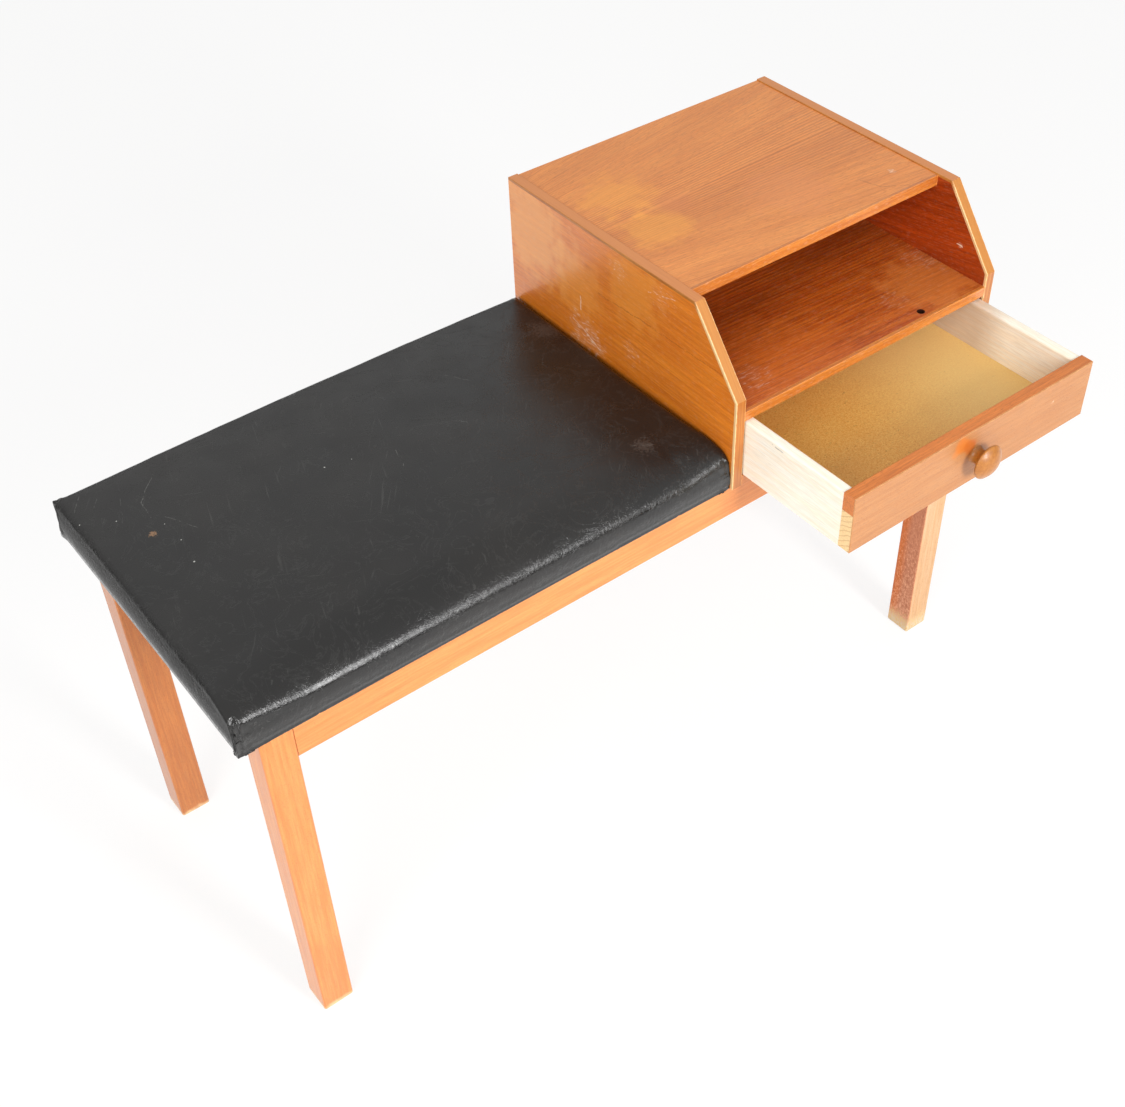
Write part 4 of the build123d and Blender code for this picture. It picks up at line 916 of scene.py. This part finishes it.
def plump(co, low, high):
    """Fills the cushion out towards its middle, and its front roll most at the roll's two ends."""
    along = (2 * co.x - low.x - high.x) / (high.x - low.x)
    across = (2 * co.y - low.y - high.y) / (high.y - low.y)
    raised = part_of((co.z - low.z - 0.016) / 0.028)
    fuller = 0.0008 + 0.0014 * along + 0.0034 * max(0.0, 1 - along * along)
    fuller *= part_of((1.0 - abs(along)) / 0.04)
    co.z += raised * fuller
    if across > 0:
        co.y += raised * across ** 8 * (0.0004 + 0.0012 * max(0.0, 1 - along * along))
    share = 1 - (co.y - low.y - ROLL_START) / ROLL_DEPTH
    power = 2.2 + 1.6 * max(0.0, 1 - (co.x - low.x) / 0.08, 1 - (high.x - co.x) / 0.05) ** 1.3
    if raised > 0 and 0 < share < 1:
        squarer = (1 - share ** power) ** (1 / power) - math.sqrt(1 - share ** 2)
        co.z += ROLL_DROP * squarer * min(1.0, raised * 4)


def front_drop(y, low):
    """How far the cushion's top has rolled down at a place near its front."""
    share = part_of((y - low.y - ROLL_START) / ROLL_DEPTH)
    return ROLL_DROP * (1 - math.sqrt(1 - (1 - share) ** 2))


def squared(a, b, power):
    """How much further out a point lies on a squarer curve than on a circle through it."""
    turn = math.atan2(b, a)
    return (abs(math.cos(turn)) ** power + abs(math.sin(turn)) ** power) ** (-1 / power) - 1


def fill_out(co, low, high):
    """Squares the shoulders of both ends and the upright corners, and draws the corners' back tips and
    feet out, where the cloth is pulled hardest."""
    for x, way in ((low.x, -1), (high.x, 1)):
        inset = (x - co.x) * way
        drop = high.z - 0.003 - front_drop(co.y, low) - co.z
        if 0 <= inset < SHOULDER and -0.001 < drop < SHOULDER:
            gain = squared(SHOULDER - inset, SHOULDER - drop, 4) * 0.5
            co.x += way * (SHOULDER - inset) * gain
            co.z += (SHOULDER - drop) * gain
    for x, y, sx, sy in corners(low, high):
        out_x, out_y = (x - co.x) * sx, (y - co.y) * sy
        if out_x < CORNER and out_y < CORNER:
            gain = squared(CORNER - out_x, CORNER - out_y, 9)
            co.x += sx * (CORNER - out_x) * gain
            co.y += sy * (CORNER - out_y) * gain
        tip = Vector((x + sx * 0.0004, y + sy * 0.0004, high.z - 0.008))
        ear = max(0.0, 1 - (tip - co).length / 0.016)
        if sy > 0 and ear > 0:
            co += (tip - co) * ear ** 0.9 * 0.9
        toe = Vector((x + sx * 0.0044, y + sy * 0.0018, low.z + 0.001))
        reach = max(0.0, 1 - (toe - co).length / 0.016)
        co.x += (toe.x - co.x) * reach ** 1.1 * 0.85
        co.y += (toe.y - co.y) * reach ** 1.1 * 0.85


def tuck_corner(v, low, high):
    """Folds the cloth round a corner: a groove with a raised lip outside it, faint at the cabinet."""
    for x, y, sx, sy in corners(low, high):
        out_x, out_y = (x - v.co.x) * sx, (y - v.co.y) * sy
        if out_x > 0.016 or out_y > 0.016:
            continue
        along = (out_x - out_y) / math.sqrt(2)
        beyond = max(0.0, (out_x + out_y) / math.sqrt(2) - 0.0066)
        away = math.hypot(along, beyond)
        deep = part_of((v.co.z - low.z) / 0.006) * (1.0 if sx < 0 else 0.15)
        fold = math.exp(-(((away - 0.0019) / 0.0012) ** 2))
        lip = math.exp(-(((away - 0.0046) / 0.0011) ** 2))
        up = part_of((v.co.z - high.z + 0.016) / 0.01)
        way = Vector((sx, sy, 0)).normalized() * (1 - up) + Vector((0, 0, 1)) * up
        v.co += way * (deep * (0.0007 * lip - 0.0014 * fold))


def wave_cover(co, low, high):
    """Slight pulls of the cover where it turns over its edges."""
    top = part_of((co.z - low.z) / 0.03)
    pull = noise.noise(Vector((co.x * 16.0, co.y * 16.0, 3.7)))
    fine = noise.noise(Vector((co.x * 70.0, co.y * 70.0, co.z * 40.0 + 9.1)))
    edge = min(co.x - low.x, high.x - co.x, co.y - low.y, high.y - co.y)
    near = max(0.0, 1.0 - edge / 0.03)
    co.z += top * (0.0005 * pull + 0.0003 * fine * near)


def open_hem(cut, low):
    """Cuts the cushion's base to a hem of cloth round the board, which shows inside the rails."""
    hem = 0.016
    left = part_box("end_rail_left")[1].x + hem
    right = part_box("cross_rail")[0].x - hem
    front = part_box("front_rail")[1].y + hem
    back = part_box("back_rail")[0].y - hem
    for point, normal in (((left, 0, 0), (1, 0, 0)), ((right, 0, 0), (1, 0, 0)),
                          ((0, front, 0), (0, 1, 0)), ((0, back, 0), (0, 1, 0))):
        base = [f for f in cut.faces if f.calc_center_median().z < low.z + 0.0005]
        geometry = list({e for f in base for e in f.edges}) + list({v for f in base for v in f.verts}) + base
        bmesh.ops.bisect_plane(cut, geom=geometry, plane_co=point, plane_no=normal)
    base = [(f, f.calc_center_median()) for f in cut.faces]
    gone = [f for f, c in base if c.z < low.z + 0.0005 and left < c.x < right and front < c.y < back]
    bmesh.ops.delete(cut, geom=gone, context="FACES")


# ---------------- stage, light and camera
def stage():
    """A pale floor that keeps the bench's soft shadow, under an even white surround. Mirrored rays see
    a brighter floor, and a surround that is dim low down and bright high up."""
    flat = bmesh.new()
    bmesh.ops.create_circle(flat, cap_ends=True, segments=64, radius=9.0)
    floor = put_form("floor", flat)
    material = bpy.data.materials.new("pale floor")
    material.use_nodes = True
    tree = material.node_tree
    tree.nodes.clear()
    plain = add(tree, "BsdfDiffuse", {"Color": (0.8, 0.8, 0.8, 1)}).outputs[0]
    ray = add(tree, "LightPath").outputs
    shown = add(tree, "BsdfDiffuse", {"Color": (0.9, 0.89, 0.88, 1)}).outputs[0]
    strength = plus(tree, times(tree, ray["Is Glossy Ray"], 0.7), 1.06)
    white = add(tree, "Emission", {"Color": (1, 1, 1, 1), "Strength": strength}).outputs[0]
    kept = add(tree, "MixShader", {0: 0.73, 1: shown, 2: white}).outputs[0]
    seen = larger(tree, ray["Is Camera Ray"], larger(tree, ray["Is Glossy Ray"], ray["Is Transmission Ray"]))
    mixed = add(tree, "MixShader", {0: seen, 1: plain, 2: kept}).outputs[0]
    feed(tree, add(tree, "OutputMaterial").inputs[0], mixed)
    floor.data.materials.append(material)
    world = bpy.data.worlds.new("studio")
    scene.world = world
    world.use_nodes = True
    tree = world.node_tree
    tree.nodes.clear()
    ray = add(tree, "LightPath").outputs
    seen = larger(tree, ray["Is Camera Ray"], ray["Is Transmission Ray"])
    height = axes(tree, add(tree, "TexCoord").outputs["Generated"])[2]
    level = 0.6
    mirrored = times(tree, ray["Is Glossy Ray"], minus(tree, ease(tree, height, 0.05, 0.55, 0.2, 1.2), level))
    lit = add(tree, "Background", {"Color": (1, 1, 1, 1), "Strength": plus(tree, mirrored, level)}).outputs[0]
    back = add(tree, "Background", {"Color": (1, 1, 1, 1), "Strength": 1.0}).outputs[0]
    mixed = add(tree, "MixShader", {0: seen, 1: lit, 2: back}).outputs[0]
    feed(tree, add(tree, "OutputWorld").inputs[0], mixed)


def softbox(name, at, toward, width, height, watts):
    """A soft rectangular light."""
    data = bpy.data.lights.new(name, "AREA")
    data.shape = "RECTANGLE"
    data.size, data.size_y = width, height
    data.energy = watts
    lamp = put(name, data)
    lamp.location = at
    lamp.rotation_euler = (Vector(toward) - Vector(at)).to_track_quat("-Z", "Y").to_euler()


def camera():
    """The photograph's place and angle."""
    data = bpy.data.cameras.new("camera")
    data.sensor_width, data.lens = 36.0, 49.452
    data.shift_x, data.shift_y = -0.04414, -0.01293
    data.clip_start, data.clip_end = 0.05, 40.0
    shot = put("camera", data)
    azimuth, elevation, roll = -0.6621, 0.7436, -0.0135
    turn = Euler((math.pi / 2 - elevation, 0.0, azimuth), "XYZ").to_matrix() @ Matrix.Rotation(roll, 3, "Z")
    shot.matrix_world = Matrix.Translation((-0.70522, -0.92288, 1.40505)) @ turn.to_4x4()
    scene.camera = shot


def main():
    finish_cabinet()
    finish_leg_frame()
    finish_drawer()
    finish_small_pieces()
    seat_padding()
    stage()
    softbox("front softbox", (0.2, -2.4, 1.42), (0.0, 0.0, 0.4), 0.5, 0.95, 50.0)
    softbox("right softbox", (1.0, -2.3, 1.3), (0.1, 0.0, 0.4), 1.0, 0.6, 4.0)
    softbox("left softbox", (-2.4, -1.5, 1.8), (0.0, 0.0, 0.4), 1.5, 1.5, 46.0)
    camera()
    scene.view_settings.view_transform = "Standard"


main()
